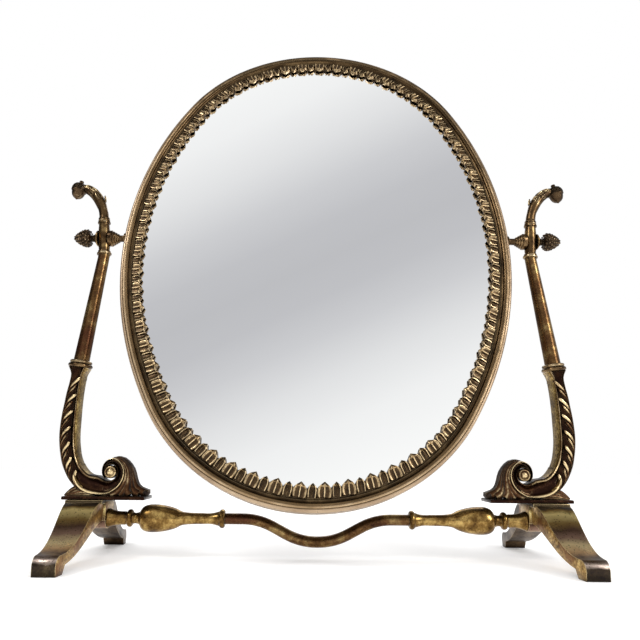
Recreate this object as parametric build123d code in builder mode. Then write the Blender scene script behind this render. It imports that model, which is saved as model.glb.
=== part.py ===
from build123d import *

import os
from math import atan2, cos, degrees, hypot, pi, radians, sin, sqrt, tan

# Table-standing swing mirror in cast and turned brass. Millimetres and degrees.
# Origin: bottom centre, on the table. X to the right, Y away from the viewer, Z up.
# Pieces that come in pairs are drawn for the right side and mirrored to the left.

os.makedirs("parts", exist_ok=True)

# Oval frame: four tangent arcs
oval_half_width = 191.9
oval_half_height = 260.5
oval_end_radius = oval_half_width * 0.8676
mirror_tilt = 13.0        # top leans away from the viewer
oval_lean = 2.15          # the frame hangs a little askew, top to the right
side_play = 1.0           # and has slid this far to the left on its trunnions
oval_drop = 4.1           # its middle hangs below the trunnions

# Frame moulding, across its section, measured from the glass face
frame_front = 7.5
frame_back = 6.5
frame_width = 10.2
frame_chamfer = 3.7       # hollowed slope at the outer front corner
bead_start = 4.5
bead_width = 2.2
bead_rise = 0.9
rebate_lip = 4.0          # inward lip that carries the leaf band
lip_thickness = 1.5

# Leaf band
band_gap = 1.3            # dark groove between frame and band
band_width = 9.0
band_root_height = 3.0
band_edge_height = 4.2
band_seat = 0.4           # underside above the glass
leaf_pairs = 65
leaf_reach = 13.5         # from the root groove to the leaf's tip
leaf_width = 11.6
leaf_height = 6.0
dart_reach = 12.9
dart_width = 6.6
dart_height = 4.9
rib_width = 1.5

# Glass and back
glass_thickness = 3.0
glass_play = 0.7          # round the edge, inside the rebate
packing_thickness = 0.6
board_play = 0.9
board_chamfer = 1.5
clip_count = 6
clip_length = 17.0
clip_width = 7.0
clip_thickness = 1.2
clip_screw_inset = 4.6
clip_head_diameter = 5.2
clip_head_height = 1.5
clip_shank_diameter = 2.6
clip_screw_depth = 6.0
thread_play = 0.05        # radial play of screws and studs in their holes

# Pivots
pivot_rise = 41.1
pivot_clearance = 22.4    # from the oval's widest place to the middle of the pivot block
pivot_height = oval_half_height + pivot_rise
pivot_reach = oval_half_width + pivot_clearance
block_lean = 4.5          # pivot block and crozier lean outwards
block_diameter = 11.6
block_flat = 5.2          # from the block's axis to the flats beside the trunnion
journal_diameter = 7.0
journal_play = 0.06
side_gap = 0.1            # between the block's flats and what turns against them
cone_diameter = 16.0
neck_diameter = 6.6
foot_disc_diameter = 11.0
cone_length = 10.6
cone_rim = 2.2            # straight edge of the cone's face
cone_rounds = 4
spigot_diameter = 4.0
spigot_length = 5.6
stud_diameter = 4.0

# Pine-cone finial nuts and their domed washers
washer_length = 4.5
finial_neck_length = 2.6
finial_length = 17.9
finial_diameter = 17.9
scale_rows = 5
stud_engagement = 11.0

# Standards
upper_ring_height = 5.0
upper_ring_diameter = 12.4
lower_ring_height = 4.8
lower_ring_diameter = 14.0
block_height = 38.0       # over both rings
stem_top_diameter = 10.8
stem_foot_diameter = 14.6
collar_reach = pivot_reach + 12.1
collar_middle = 173.8
collar_height = 7.0
collar_diameter = 22.4
collar_waist = 17.0
joint_stud_diameter = 5.0
joint_stud_depth = 9.0

# Crozier arm
arm_diameter = 9.6
arm_leaf_diameter = 11.2
arm_lower_radius = 46.0
arm_upper_radius = 30.0
arm_lower_turn = 30.0
arm_upper_turn = 43.0
acorn_diameter = 15.2
acorn_centre = (pivot_reach + 30.4, pivot_height + 50.7)
acorn_droop = 12.0
acorn_length = 20.8
acorn_knob_radius = 2.3
acorn_tip_radius = 1.2
spur_tip = (pivot_reach + 1.7, pivot_height + 43.2)
spur_root_radius = 3.0
spur_tip_radius = 0.7

# Feet and consoles stand this far out
foot_centre = pivot_reach - 8.3

# Scroll console
console_depth = 18.0
console_relief = 1.7      # depth of the sunk channel on both faces
rim_width = 2.3
console_width = 18.6
console_low = 54.0        # underside of the big curl
curl_radii = (19.4, 12.2, 9.6, 7.6, 5.5, 4.0)
curl_left = foot_centre - 28.0
eye_diameter = 7.0
eye_rise = 0.8
eye_drop = 4.2
console_belly = foot_centre + 35.4
belly_height = 107.0
hollow_reach = foot_centre + 16.7
hollow_height = belly_height + 5
notch_place = foot_centre - 3.3
notch_low = 71.0
lobe_first = 0.10         # shares along the console's back
lobe_last = 0.62
lobe_count = 9
lobe_length = 10.5
lobe_width = 3.4
lobe_slant = 38.0
drape_depth = 15.0

# Base plate
plate_inner = foot_centre - 55.7
plate_outer = foot_centre + 26.2
plate_thickness = 3.0
plate_depth = 30.0

# Bridge feet
foot_top = 50.2
foot_cap_width = 32.6
foot_cap_height = 3.2
foot_width = 30.4
toe_width = 18.0
foot_half_top = 19.5      # half the flat top, front to back
toe_reach = 94.0
toe_height = 14.6
toe_round = 6.0           # rounded front of the toe, seen from the side
sole_length = 11.0
heel_rise = 6.7           # where the arch springs from behind the sole
arch_height = 32.5
arch_half = 14.0
pad_thickness = 2.0       # raised pad on the inner side
pad_half_width = 10.5
pad_low = 31.0

# Stretcher
stretcher_height = 33.9
baluster_length = 105.6
bulb_place = 40.6         # distances from the foot's pad
bead_place = 19.9
neck_place = 86.8
flange_radius = 8.4
bead_radius = 7.7
bulb_radius = 12.1
neck_radius = 4.8
ring_radius = 8.2
ring_width = 4.9
rod_diameter = 9.7
rod_low = 14.5            # rod axis at the middle of the dip
rod_slope = 27.2
rod_spigot_diameter = 6.0
rod_spigot_length = 12.0
bolt_diameter = 5.0
bolt_head_diameter = 9.0
bolt_head_height = 3.2
bolt_engagement = 12.0
plate_screw_diameter = 3.5
plate_screw_spacing = 12.4
plate_screw_reach = 55.8  # top end of the screws
plate_screw_seat = 38.0   # underside of their heads' seats
plate_screw_head = 6.0
plate_screw_head_height = 2.2
plate_screw_place = foot_centre - 4.0


# Shared geometry
pivot = Vector(0, 0, pivot_height)
tilt = radians(mirror_tilt)
lean = radians(oval_lean)
uphill = Vector(0, sin(tilt), cos(tilt))
towards_viewer = Vector(0, -cos(tilt), sin(tilt))
across = Vector(cos(lean), -sin(lean) * sin(tilt), -sin(lean) * cos(tilt))
mirror_plane = Plane(
    origin=pivot - uphill * oval_drop - Vector(side_play, 0, 0),
    x_dir=across,
    z_dir=towards_viewer,
)

end_offset = oval_half_height - oval_end_radius
side_radius = (end_offset**2 + oval_half_width**2 - oval_end_radius**2) / (
    2 * (oval_half_width - oval_end_radius)
)
side_offset = side_radius - oval_half_width
side_angle = degrees(atan2(end_offset, side_offset))

# Each arc of the oval: centre across, centre up, radius, first angle, sweep
oval_arcs = [
    (-side_offset, 0, side_radius, -side_angle, 2 * side_angle),
    (0, end_offset, oval_end_radius, side_angle, 180 - 2 * side_angle),
    (side_offset, 0, side_radius, 180 - side_angle, 2 * side_angle),
    (0, -end_offset, oval_end_radius, 180 + side_angle, 180 - 2 * side_angle),
]


def oval_place(arc, angle, inset=0.0, height=0.0):
    """A place on an arc of the oval: x points outwards, z towards the viewer."""
    centre_across, centre_up, radius, _, _ = arc
    out = mirror_plane.x_dir * cos(radians(angle)) + mirror_plane.y_dir * sin(radians(angle))
    centre = mirror_plane.from_local_coords(Vector(centre_across, centre_up, height))
    return Plane(origin=centre + out * (radius - inset), x_dir=out, z_dir=towards_viewer)


def round_oval(share, inset=0.0, height=0.0):
    """The place a share of the way round the oval that lies inset from the outline."""
    lengths = [radians(sweep) * (radius - inset) for _, _, radius, _, sweep in oval_arcs]
    distance = (share % 1.0) * sum(lengths)
    for arc, length in zip(oval_arcs, lengths):
        if distance <= length:
            return oval_place(arc, arc[3] + arc[4] * distance / length, inset, height)
        distance -= length
    return oval_place(oval_arcs[0], oval_arcs[0][3], inset, height)


def carry_round(draw_section):
    """A ring: the section turned about each arc's centre, right round the oval."""
    with BuildPart() as ring:
        for arc in oval_arcs:
            centre = mirror_plane.from_local_coords(Vector(arc[0], arc[1], 0))
            start = oval_place(arc, arc[3])
            across_section = Plane(
                origin=start.origin, x_dir=start.x_dir, z_dir=start.x_dir.cross(towards_viewer)
            )
            with BuildSketch(across_section):
                with BuildLine():
                    draw_section()
                make_face()
            revolve(axis=Axis(centre, towards_viewer), revolution_arc=arc[4])
    return ring.part


def oval_outline(inset):
    """Draws the oval that lies inset from the outline."""
    for centre_across, centre_up, radius, first, sweep in oval_arcs:
        CenterArc((centre_across, centre_up), radius - inset, first, sweep)


def write(solid, name):
    """Names a finished piece and writes its file."""
    solid.label = name
    export_step(solid, f"parts/{name}.step")


def write_pair(solid, name):
    """Writes a piece drawn for the right side, and its mirror image for the left."""
    write(solid, f"{name}_right")
    write(mirror(solid, about=Plane.YZ), f"{name}_left")


def wall_reach(side):
    """How far out the frame's front corner line lies at pivot height, to one side."""
    start = mirror_plane.to_local_coords(pivot)
    centre = Vector(-side * side_offset, 0, 0)
    along = Vector(side * cos(lean), side * sin(lean), 0)
    back = (start - centre).dot(along)
    return -back + sqrt(back**2 - (start - centre).dot(start - centre) + side_radius**2)


# Frame moulding: slope, bead and half-round in front, a lip and a rebate behind
lip_inset = frame_width + rebate_lip
bead_end = bead_start + bead_width
bead_foot = frame_front - bead_rise
round_foot = frame_front - 2.9


def frame_section():
    slope_foot = (0, frame_front - frame_chamfer)
    slope_top = (-frame_chamfer, frame_front - 0.1)
    Line((0, -frame_back), slope_foot)
    ThreePointArc(
        slope_foot,
        (-frame_chamfer * 0.44, frame_front - frame_chamfer * 0.44),
        slope_top,
    )
    Polyline(slope_top, (-frame_chamfer - 0.2, bead_foot), (-bead_start, bead_foot))
    ThreePointArc(
        (-bead_start, bead_foot),
        (-bead_start - bead_width / 2, frame_front),
        (-bead_end, bead_foot),
    )
    Line((-bead_end, bead_foot), (-bead_end, bead_foot - 0.8))
    ThreePointArc(
        (-bead_end, bead_foot - 0.8),
        ((-bead_end - frame_width) / 2 - 0.2, bead_foot - 0.35),
        (-frame_width, round_foot),
    )
    Polyline(
        (-frame_width, round_foot),
        (-frame_width, lip_thickness),
        (-lip_inset, lip_thickness),
        (-lip_inset, 0),
        (-frame_width, 0),
        (-frame_width, -frame_back),
        (0, -frame_back),
    )


trunnion_seats = {side: wall_reach(side) - 0.6 for side in (1, -1)}
clip_places = [
    round_oval((number + 0.5) / clip_count, clip_screw_inset, -frame_back)
    for number in range(clip_count)
]

moulding = carry_round(frame_section)
with BuildPart() as frame_rim:
    add(moulding)
    for side, seat in trunnion_seats.items():
        seat_plane = Plane(origin=(side * seat, 0, pivot_height), x_dir=(0, 1, 0), z_dir=(side, 0, 0))
        with BuildSketch(seat_plane):
            Circle(foot_disc_diameter / 2 + 0.2)
        extrude(amount=3, mode=Mode.SUBTRACT)
        with BuildSketch(seat_plane):
            Circle(spigot_diameter / 2 + thread_play)
        extrude(amount=-spigot_length - 0.4, mode=Mode.SUBTRACT)
    with Locations(*clip_places):
        Cylinder(
            clip_shank_diameter / 2 + thread_play,
            clip_screw_depth,
            align=(Align.CENTER, Align.CENTER, Align.MIN),
            mode=Mode.SUBTRACT,
        )
write(frame_rim.part, "frame_rim")


# Leaf band: a plain cast ring with upright leaves and darts standing on it
band_start = frame_width + band_gap
band_end = band_start + band_width
root_inset = 1.2


def band_section():
    lip_edge = lip_inset + 0.3
    Line((-band_start, lip_thickness), (-band_start, band_root_height - 1.0))
    ThreePointArc(
        (-band_start, band_root_height - 1.0),
        (-band_start - 0.4, band_root_height - 0.2),
        (-band_start - 1.3, band_root_height),
    )
    Polyline(
        (-band_start - 1.3, band_root_height),
        (-band_end, band_edge_height),
        (-band_end, band_seat),
        (-lip_edge, band_seat),
        (-lip_edge, lip_thickness),
        (-band_start, lip_thickness),
    )


def draw_leaf(width, height, reach):
    """One leaf along +X from root to tip: a rib between falling flanks, rising to the tip."""
    with BuildPart() as blade:
        with BuildSketch(Plane.XZ):
            with BuildLine():
                Polyline(
                    (root_inset, lip_thickness + 0.6),
                    (root_inset, height * 0.55),
                    (reach * 0.76, height),
                    (reach, height * 0.78),
                    (reach, 0.9),
                    (band_width - 1.0, 0.9),
                    (band_width - 2.0, lip_thickness + 0.6),
                    (root_inset, lip_thickness + 0.6),
                )
            make_face()
        extrude(amount=width / 2, both=True)
        with BuildSketch(Plane.XY):
            with BuildLine():
                shoulder = reach * 0.62
                Polyline(
                    (shoulder, -width / 2),
                    (root_inset, 0.6 - width / 2),
                    (root_inset, width / 2 - 0.6),
                    (shoulder, width / 2),
                )
                ThreePointArc((shoulder, width / 2), (reach * 0.86, width * 0.28), (reach, 0))
                ThreePointArc((reach, 0), (reach * 0.86, -width * 0.28), (shoulder, -width / 2))
            make_face()
        extrude(amount=height + 1, mode=Mode.INTERSECT)
        with BuildSketch(Plane.YZ):
            with BuildLine():
                Polyline(
                    (-width / 2, 0),
                    (-width / 2, height * 0.62),
                    (-rib_width / 2 - 0.2, height * 0.86),
                    (-rib_width / 2, height),
                    (rib_width / 2, height),
                    (rib_width / 2 + 0.2, height * 0.86),
                    (width / 2, height * 0.62),
                    (width / 2, 0),
                    (-width / 2, 0),
                )
            make_face()
        extrude(amount=reach + 1, mode=Mode.INTERSECT)
    return blade.part


leaf = draw_leaf(leaf_width, leaf_height, leaf_reach)
dart = draw_leaf(dart_width, dart_height, dart_reach)
leaf_places = []
dart_places = []
for number in range(leaf_pairs):
    for places, share in ((leaf_places, number), (dart_places, number + 0.5)):
        place = round_oval(share / leaf_pairs, band_start)
        places.append(Plane(origin=place.origin, x_dir=-place.x_dir, z_dir=place.z_dir))

plain_band = carry_round(band_section)
with BuildPart() as leaf_band:
    add(plain_band)
    with Locations(*dart_places):
        add(dart)
    with Locations(*leaf_places):
        add(leaf)
write(leaf_band.part, "leaf_band")


# Mirror glass, packing and back board, stacked behind the lip
with BuildPart() as mirror_glass:
    with BuildSketch(mirror_plane):
        with BuildLine():
            oval_outline(frame_width + glass_play)
        make_face()
    extrude(amount=-glass_thickness)
write(mirror_glass.part, "mirror_glass")

with BuildPart() as packing_sheet:
    with BuildSketch(mirror_plane.offset(-glass_thickness)):
        with BuildLine():
            oval_outline(frame_width + board_play)
        make_face()
    extrude(amount=-packing_thickness)
write(packing_sheet.part, "packing_sheet")

board_front = glass_thickness + packing_thickness
with BuildPart() as back_board:
    with BuildSketch(mirror_plane.offset(-board_front)):
        with BuildLine():
            oval_outline(frame_width + board_play)
        make_face()
    extrude(amount=-(frame_back - board_front))
    rear = back_board.faces().sort_by(Axis(mirror_plane.origin, towards_viewer))[0]
    chamfer(rear.edges(), board_chamfer)
write(back_board.part, "back_board")

# Turn clips that hold the board, each on a round-headed screw
clip_inward = clip_length / 2 - clip_width / 2
with BuildPart() as back_clips:
    for place in clip_places:
        with BuildSketch(place):
            with Locations((-clip_inward, 0)):
                SlotOverall(clip_length, clip_width)
            Circle(clip_shank_diameter / 2 + thread_play, mode=Mode.SUBTRACT)
        extrude(amount=-clip_thickness)
write(back_clips.part, "back_clips")

dome_radius = (clip_head_height**2 + (clip_head_diameter / 2) ** 2) / (2 * clip_head_height)
dome_middle = dome_radius - clip_head_height
dome_half = atan2(clip_head_diameter / 2, dome_middle) / 2
with BuildPart() as clip_screw:
    with BuildSketch(Plane.XZ):
        with BuildLine():
            point = clip_thickness + clip_screw_depth - 0.4
            Polyline(
                (0, -clip_head_height),
                (0, point),
                (clip_shank_diameter / 2, point - 1.2),
                (clip_shank_diameter / 2, 0),
                (clip_head_diameter / 2, 0),
            )
            ThreePointArc(
                (clip_head_diameter / 2, 0),
                (dome_radius * sin(dome_half), dome_middle - dome_radius * cos(dome_half)),
                (0, -clip_head_height),
            )
        make_face()
    revolve(axis=Axis.Z)

with BuildPart() as clip_screws:
    with Locations(*[place.offset(-clip_thickness) for place in clip_places]):
        add(clip_screw.part)
write(clip_screws.part, "clip_screws")


# Trunnions: turned pins screwed into the frame, through the pivot blocks and threaded outside
def pivot_section(side):
    """Half section along the pivot line: x runs outwards from the pivot block's middle."""
    return Plane(
        origin=(side * pivot_reach, 0, pivot_height), x_dir=(side, 0, 0), z_dir=(0, -side, 0)
    )


cone_face = -block_flat - side_gap
journal_end = block_flat - 0.3
stud_end = block_flat + side_gap + washer_length + finial_neck_length + stud_engagement
for side, name in ((1, "right"), (-1, "left")):
    seat = trunnion_seats[side] - pivot_reach
    neck_end = cone_face - cone_length
    with BuildPart() as trunnion:
        with BuildSketch(pivot_section(side)):
            with BuildLine():
                Polyline(
                    (seat - spigot_length, 0),
                    (seat - spigot_length, spigot_diameter / 2),
                    (seat, spigot_diameter / 2),
                    (seat, foot_disc_diameter / 2),
                    (seat + 1.4, foot_disc_diameter / 2),
                    (seat + 2.0, neck_diameter / 2),
                    (neck_end, neck_diameter / 2),
                )
                # stepped rounds that swell to the cone's face
                start = (neck_end, neck_diameter / 2)
                for step in range(1, cone_rounds + 1):
                    share = step / cone_rounds
                    radius = (neck_diameter + (cone_diameter - neck_diameter) * share) / 2
                    corner = (neck_end + (cone_length - cone_rim) * share, radius)
                    middle = ((start[0] + corner[0]) / 2 - 0.3, (start[1] + corner[1]) / 2 + 0.55)
                    ThreePointArc(start, middle, corner)
                    start = corner
                Polyline(
                    start,
                    (cone_face, cone_diameter / 2),
                    (cone_face, journal_diameter / 2),
                    (journal_end, journal_diameter / 2),
                    (journal_end, stud_diameter / 2),
                    (stud_end - 0.6, stud_diameter / 2),
                    (stud_end, stud_diameter / 2 - 0.6),
                    (stud_end, 0),
                    (seat - spigot_length, 0),
                )
            make_face()
        revolve(axis=Axis((0, 0, pivot_height), (1, 0, 0)))
    write(trunnion.part, f"trunnion_{name}")

# Domed washers, which the finial nuts press against the blocks
washer_face = block_flat + side_gap
with BuildPart() as domed_washer:
    with BuildSketch(pivot_section(1)):
        with BuildLine():
            bore = stud_diameter / 2 + thread_play
            Polyline(
                (washer_face + washer_length, bore),
                (washer_face, bore),
                (washer_face, cone_diameter / 2),
                (washer_face + 1.0, cone_diameter / 2),
            )
            ThreePointArc(
                (washer_face + 1.0, cone_diameter / 2),
                (washer_face + washer_length * 0.66, cone_diameter * 0.32),
                (washer_face + washer_length, neck_diameter / 2),
            )
            Line((washer_face + washer_length, neck_diameter / 2), (washer_face + washer_length, bore))
        make_face()
    revolve(axis=Axis((0, 0, pivot_height), (1, 0, 0)))
write_pair(domed_washer.part, "domed_washer")

# Pine-cone finial nuts: rings of scales on an egg, bored and threaded for the stud
nut_start = washer_face + washer_length + 0.05
cone_start = nut_start + finial_neck_length


def cone_radius(share):
    """Radius of the pine cone's egg, from its neck (0) to its tip (1)."""
    return finial_diameter / 2 * sin(pi * sqrt(share)) ** 0.62


with BuildPart() as finial_nut:
    with BuildSketch(pivot_section(1)):
        with BuildLine():
            bore = stud_diameter / 2 + thread_play
            outline = [(nut_start, neck_diameter / 2), (cone_start, neck_diameter / 2)]
            for row in range(scale_rows):
                low = (row + 0.12) / (scale_rows + 0.35)
                high = (row + 0.92) / (scale_rows + 0.35)
                outline.append((cone_start + finial_length * low, cone_radius(low) * 0.90))
                outline.append((cone_start + finial_length * high, cone_radius(high) * 1.0))
            outline.append((cone_start + finial_length, 0))
            Polyline(
                (nut_start, bore),
                *outline,
                (stud_end + 2.0, 0),
                (stud_end + 1.0, bore),
                (nut_start, bore),
            )
        make_face()
    revolve(axis=Axis((0, 0, pivot_height), (1, 0, 0)))
write_pair(finial_nut.part, "finial_nut")


# Pivot blocks: turned barrels between two rings, leaning outwards, bored for the trunnions
def leaning_section(reach, height, lean_out):
    """Half section of a turned piece: x runs out from its axis, y along it."""
    up = Vector(sin(radians(lean_out)), 0, cos(radians(lean_out)))
    out = Vector(cos(radians(lean_out)), 0, -sin(radians(lean_out)))
    return Plane(origin=(reach, 0, height), x_dir=out, z_dir=out.cross(up))


block_section = leaning_section(pivot_reach, pivot_height, block_lean)
block_axis = Axis(block_section.origin, block_section.y_dir)
block_low = -block_height * 0.46
block_high = block_low + block_height
stem_top = block_section.from_local_coords(Vector(0, block_low, 0))
arm_start = block_section.from_local_coords(Vector(0, block_high, 0))

with BuildPart() as pivot_block:
    with BuildSketch(block_section):
        with BuildLine():
            low_ring = block_low + lower_ring_height
            high_ring = block_high - upper_ring_height
            Polyline(
                (0, block_low),
                (lower_ring_diameter / 2 - 0.5, block_low),
                (lower_ring_diameter / 2, block_low + 0.6),
                (lower_ring_diameter / 2, block_low + 1.8),
                (lower_ring_diameter / 2 - 1.6, block_low + 2.2),
            )
            ThreePointArc(
                (lower_ring_diameter / 2 - 1.6, block_low + 2.2),
                (lower_ring_diameter / 2 - 0.9, block_low + 3.4),
                (lower_ring_diameter / 2 - 1.8, low_ring),
            )
            ThreePointArc(
                (lower_ring_diameter / 2 - 1.8, low_ring),
                (block_diameter / 2, 0),
                (upper_ring_diameter / 2 - 1.2, high_ring),
            )
            Polyline(
                (upper_ring_diameter / 2 - 1.2, high_ring),
                (upper_ring_diameter / 2, high_ring + 0.5),
                (upper_ring_diameter / 2, high_ring + 1.8),
                (upper_ring_diameter / 2 - 1.0, high_ring + 2.3),
            )
            ThreePointArc(
                (upper_ring_diameter / 2 - 1.0, high_ring + 2.3),
                (upper_ring_diameter / 2 - 0.5, high_ring + 3.5),
                (upper_ring_diameter / 2 - 1.1, block_high),
            )
            Polyline((upper_ring_diameter / 2 - 1.1, block_high), (0, block_high), (0, block_low))
        make_face()
    revolve(axis=block_axis)
    for side in (1, -1):
        flat = Plane(origin=(pivot_reach + side * block_flat, 0, pivot_height), z_dir=(side, 0, 0))
        with BuildSketch(flat):
            Circle(cone_diameter / 2 + 0.6)
        extrude(amount=5, mode=Mode.SUBTRACT)
    with BuildSketch(Plane(origin=(pivot_reach, 0, pivot_height), z_dir=(1, 0, 0))):
        Circle(journal_diameter / 2 + journal_play)
    extrude(amount=block_diameter, both=True, mode=Mode.SUBTRACT)
    for height, direction in ((block_low, 1), (block_high, -1)):
        end = Plane(
            origin=block_section.from_local_coords(Vector(0, height, 0)),
            z_dir=block_section.y_dir * direction,
        )
        with BuildSketch(end):
            Circle(joint_stud_diameter / 2 + thread_play)
        extrude(amount=joint_stud_depth, mode=Mode.SUBTRACT)
write_pair(pivot_block.part, "pivot_block")

# Stems: long tapers between the collars and the pivot blocks
stem_lean = degrees(atan2(stem_top.X - collar_reach, stem_top.Z - collar_middle))
collar_section = leaning_section(collar_reach, collar_middle, stem_lean)
collar_axis = Axis(collar_section.origin, collar_section.y_dir)
stem_foot_at = collar_height / 2
stem_length = hypot(stem_top.X - collar_reach, stem_top.Z - collar_middle) - stem_foot_at

with BuildPart() as stem:
    with BuildSketch(collar_section):
        with BuildLine():
            Polyline(
                (0, stem_foot_at),
                (stem_foot_diameter / 2, stem_foot_at),
                (stem_top_diameter / 2, stem_foot_at + stem_length + 2.0),
                (0, stem_foot_at + stem_length + 2.0),
                (0, stem_foot_at),
            )
        make_face()
    revolve(axis=collar_axis)
    # the top is cut square to the pivot block, which leans the other way
    with BuildSketch(Plane(origin=stem_top, z_dir=block_section.y_dir)):
        Circle(stem_top_diameter)
    extrude(amount=12, mode=Mode.SUBTRACT)
    with BuildSketch(Plane(origin=stem_top, z_dir=-block_section.y_dir)):
        Circle(joint_stud_diameter / 2 + thread_play)
    extrude(amount=joint_stud_depth, mode=Mode.SUBTRACT)
    with BuildSketch(
        Plane(
            origin=collar_section.from_local_coords(Vector(0, stem_foot_at, 0)),
            z_dir=collar_section.y_dir,
        )
    ):
        Circle(joint_stud_diameter / 2 + thread_play)
    extrude(amount=joint_stud_depth, mode=Mode.SUBTRACT)
write_pair(stem.part, "stem")

# Double-bead collars
with BuildPart() as collar:
    with BuildSketch(collar_section):
        with BuildLine():
            half = collar_height / 2
            bore = joint_stud_diameter / 2 + thread_play
            Polyline((bore, half), (bore, -half), (collar_waist / 2 + 0.6, -half))
            ThreePointArc(
                (collar_waist / 2 + 0.6, -half),
                (collar_diameter / 2, -half + 2.1),
                (collar_waist / 2 + 0.9, -half + 4.0),
            )
            ThreePointArc(
                (collar_waist / 2 + 0.9, -half + 4.0),
                (collar_waist / 2 + 1.7, half - 1.5),
                (collar_waist / 2 + 0.2, half),
            )
            Line((collar_waist / 2 + 0.2, half), (bore, half))
        make_face()
    revolve(axis=collar_axis)
write_pair(collar.part, "collar")


# Scroll consoles: an S-shaped cast console whose foot curls inwards and up into a volute
console_top = collar_section.from_local_coords(Vector(0, -collar_height / 2, 0))
console_out = collar_section.x_dir * (console_width / 2)
outer_top = console_top + console_out
inner_top = console_top - console_out


def flat(point):
    """A point of the console's side view: x outwards, y up."""
    return (point.X, point.Z)


def curl_points():
    """Quarter-turn ends of the volute, from the bottom of the big curl inwards."""
    x, z = curl_left + curl_radii[0], console_low
    points = [(x, z)]
    turns = ((-1, 1), (1, 1), (1, -1), (-1, -1))
    for number, radius in enumerate(curl_radii):
        across_step, up_step = turns[number % 4]
        x += across_step * radius
        z += up_step * radius
        points.append((x, z))
    return points


curl = curl_points()
curl_starts = (270, 180, 90, 0)


def draw_back():
    """The console's outer edge, from the collar down to the bottom of the curl."""
    belly = (console_belly, belly_height)
    start = outer_top - collar_section.y_dir * 22
    Bezier(flat(outer_top), flat(start), (console_belly, belly_height + 22), belly)
    EllipticalCenterArc(
        (curl[0][0], belly_height),
        console_belly - curl[0][0],
        belly_height - console_low,
        start_angle=270,
        arc_size=90,
    )


def draw_curl(quarters):
    """The volute's edge, as quarter arcs of falling radius."""
    for number in range(quarters):
        radius = curl_radii[number]
        x, z = curl[number]
        centre = ((x, z + radius), (x + radius, z), (x, z - radius), (x - radius, z))[number % 4]
        CenterArc(centre, radius, curl_starts[number % 4], -90)


def draw_hollow():
    """The console's inner edge, from the volute back up to the collar."""
    notch = (notch_place, notch_low)
    ThreePointArc(curl[3], (curl[3][0] + 0.8, notch_low + 1.8), notch)
    EllipticalCenterArc(
        (notch_place, hollow_height),
        hollow_reach - notch_place,
        hollow_height - notch_low,
        start_angle=270,
        arc_size=90,
    )
    start = inner_top - collar_section.y_dir * 21
    turn = (hollow_reach, hollow_height)
    Bezier(turn, (hollow_reach, hollow_height + 18), flat(start), flat(inner_top))


def draw_plate_holes(low, high, radius):
    """Cylinders for the plate screws, between two heights."""
    with Locations((plate_screw_place, 0, low)):
        with GridLocations(1, plate_screw_spacing, 1, 2):
            Cylinder(
                radius,
                high - low,
                align=(Align.CENTER, Align.CENTER, Align.MIN),
                mode=Mode.SUBTRACT,
            )


with BuildLine(Plane.XZ) as back_line:
    draw_back()
back_edge = back_line.wires()[0]
lobe_places = []
for number in range(lobe_count):
    share = lobe_first + (lobe_last - lobe_first) * number / (lobe_count - 1)
    along = back_edge.tangent_at(share)
    inward = Vector(along.Z, 0, -along.X)
    middle = back_edge.position_at(share) + inward * (rim_width + 3.6)
    slant = degrees(atan2(inward.Z, inward.X)) + lobe_slant
    lobe_places.append(Location((middle.X, middle.Z, 0), (0, 0, slant)))

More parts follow.
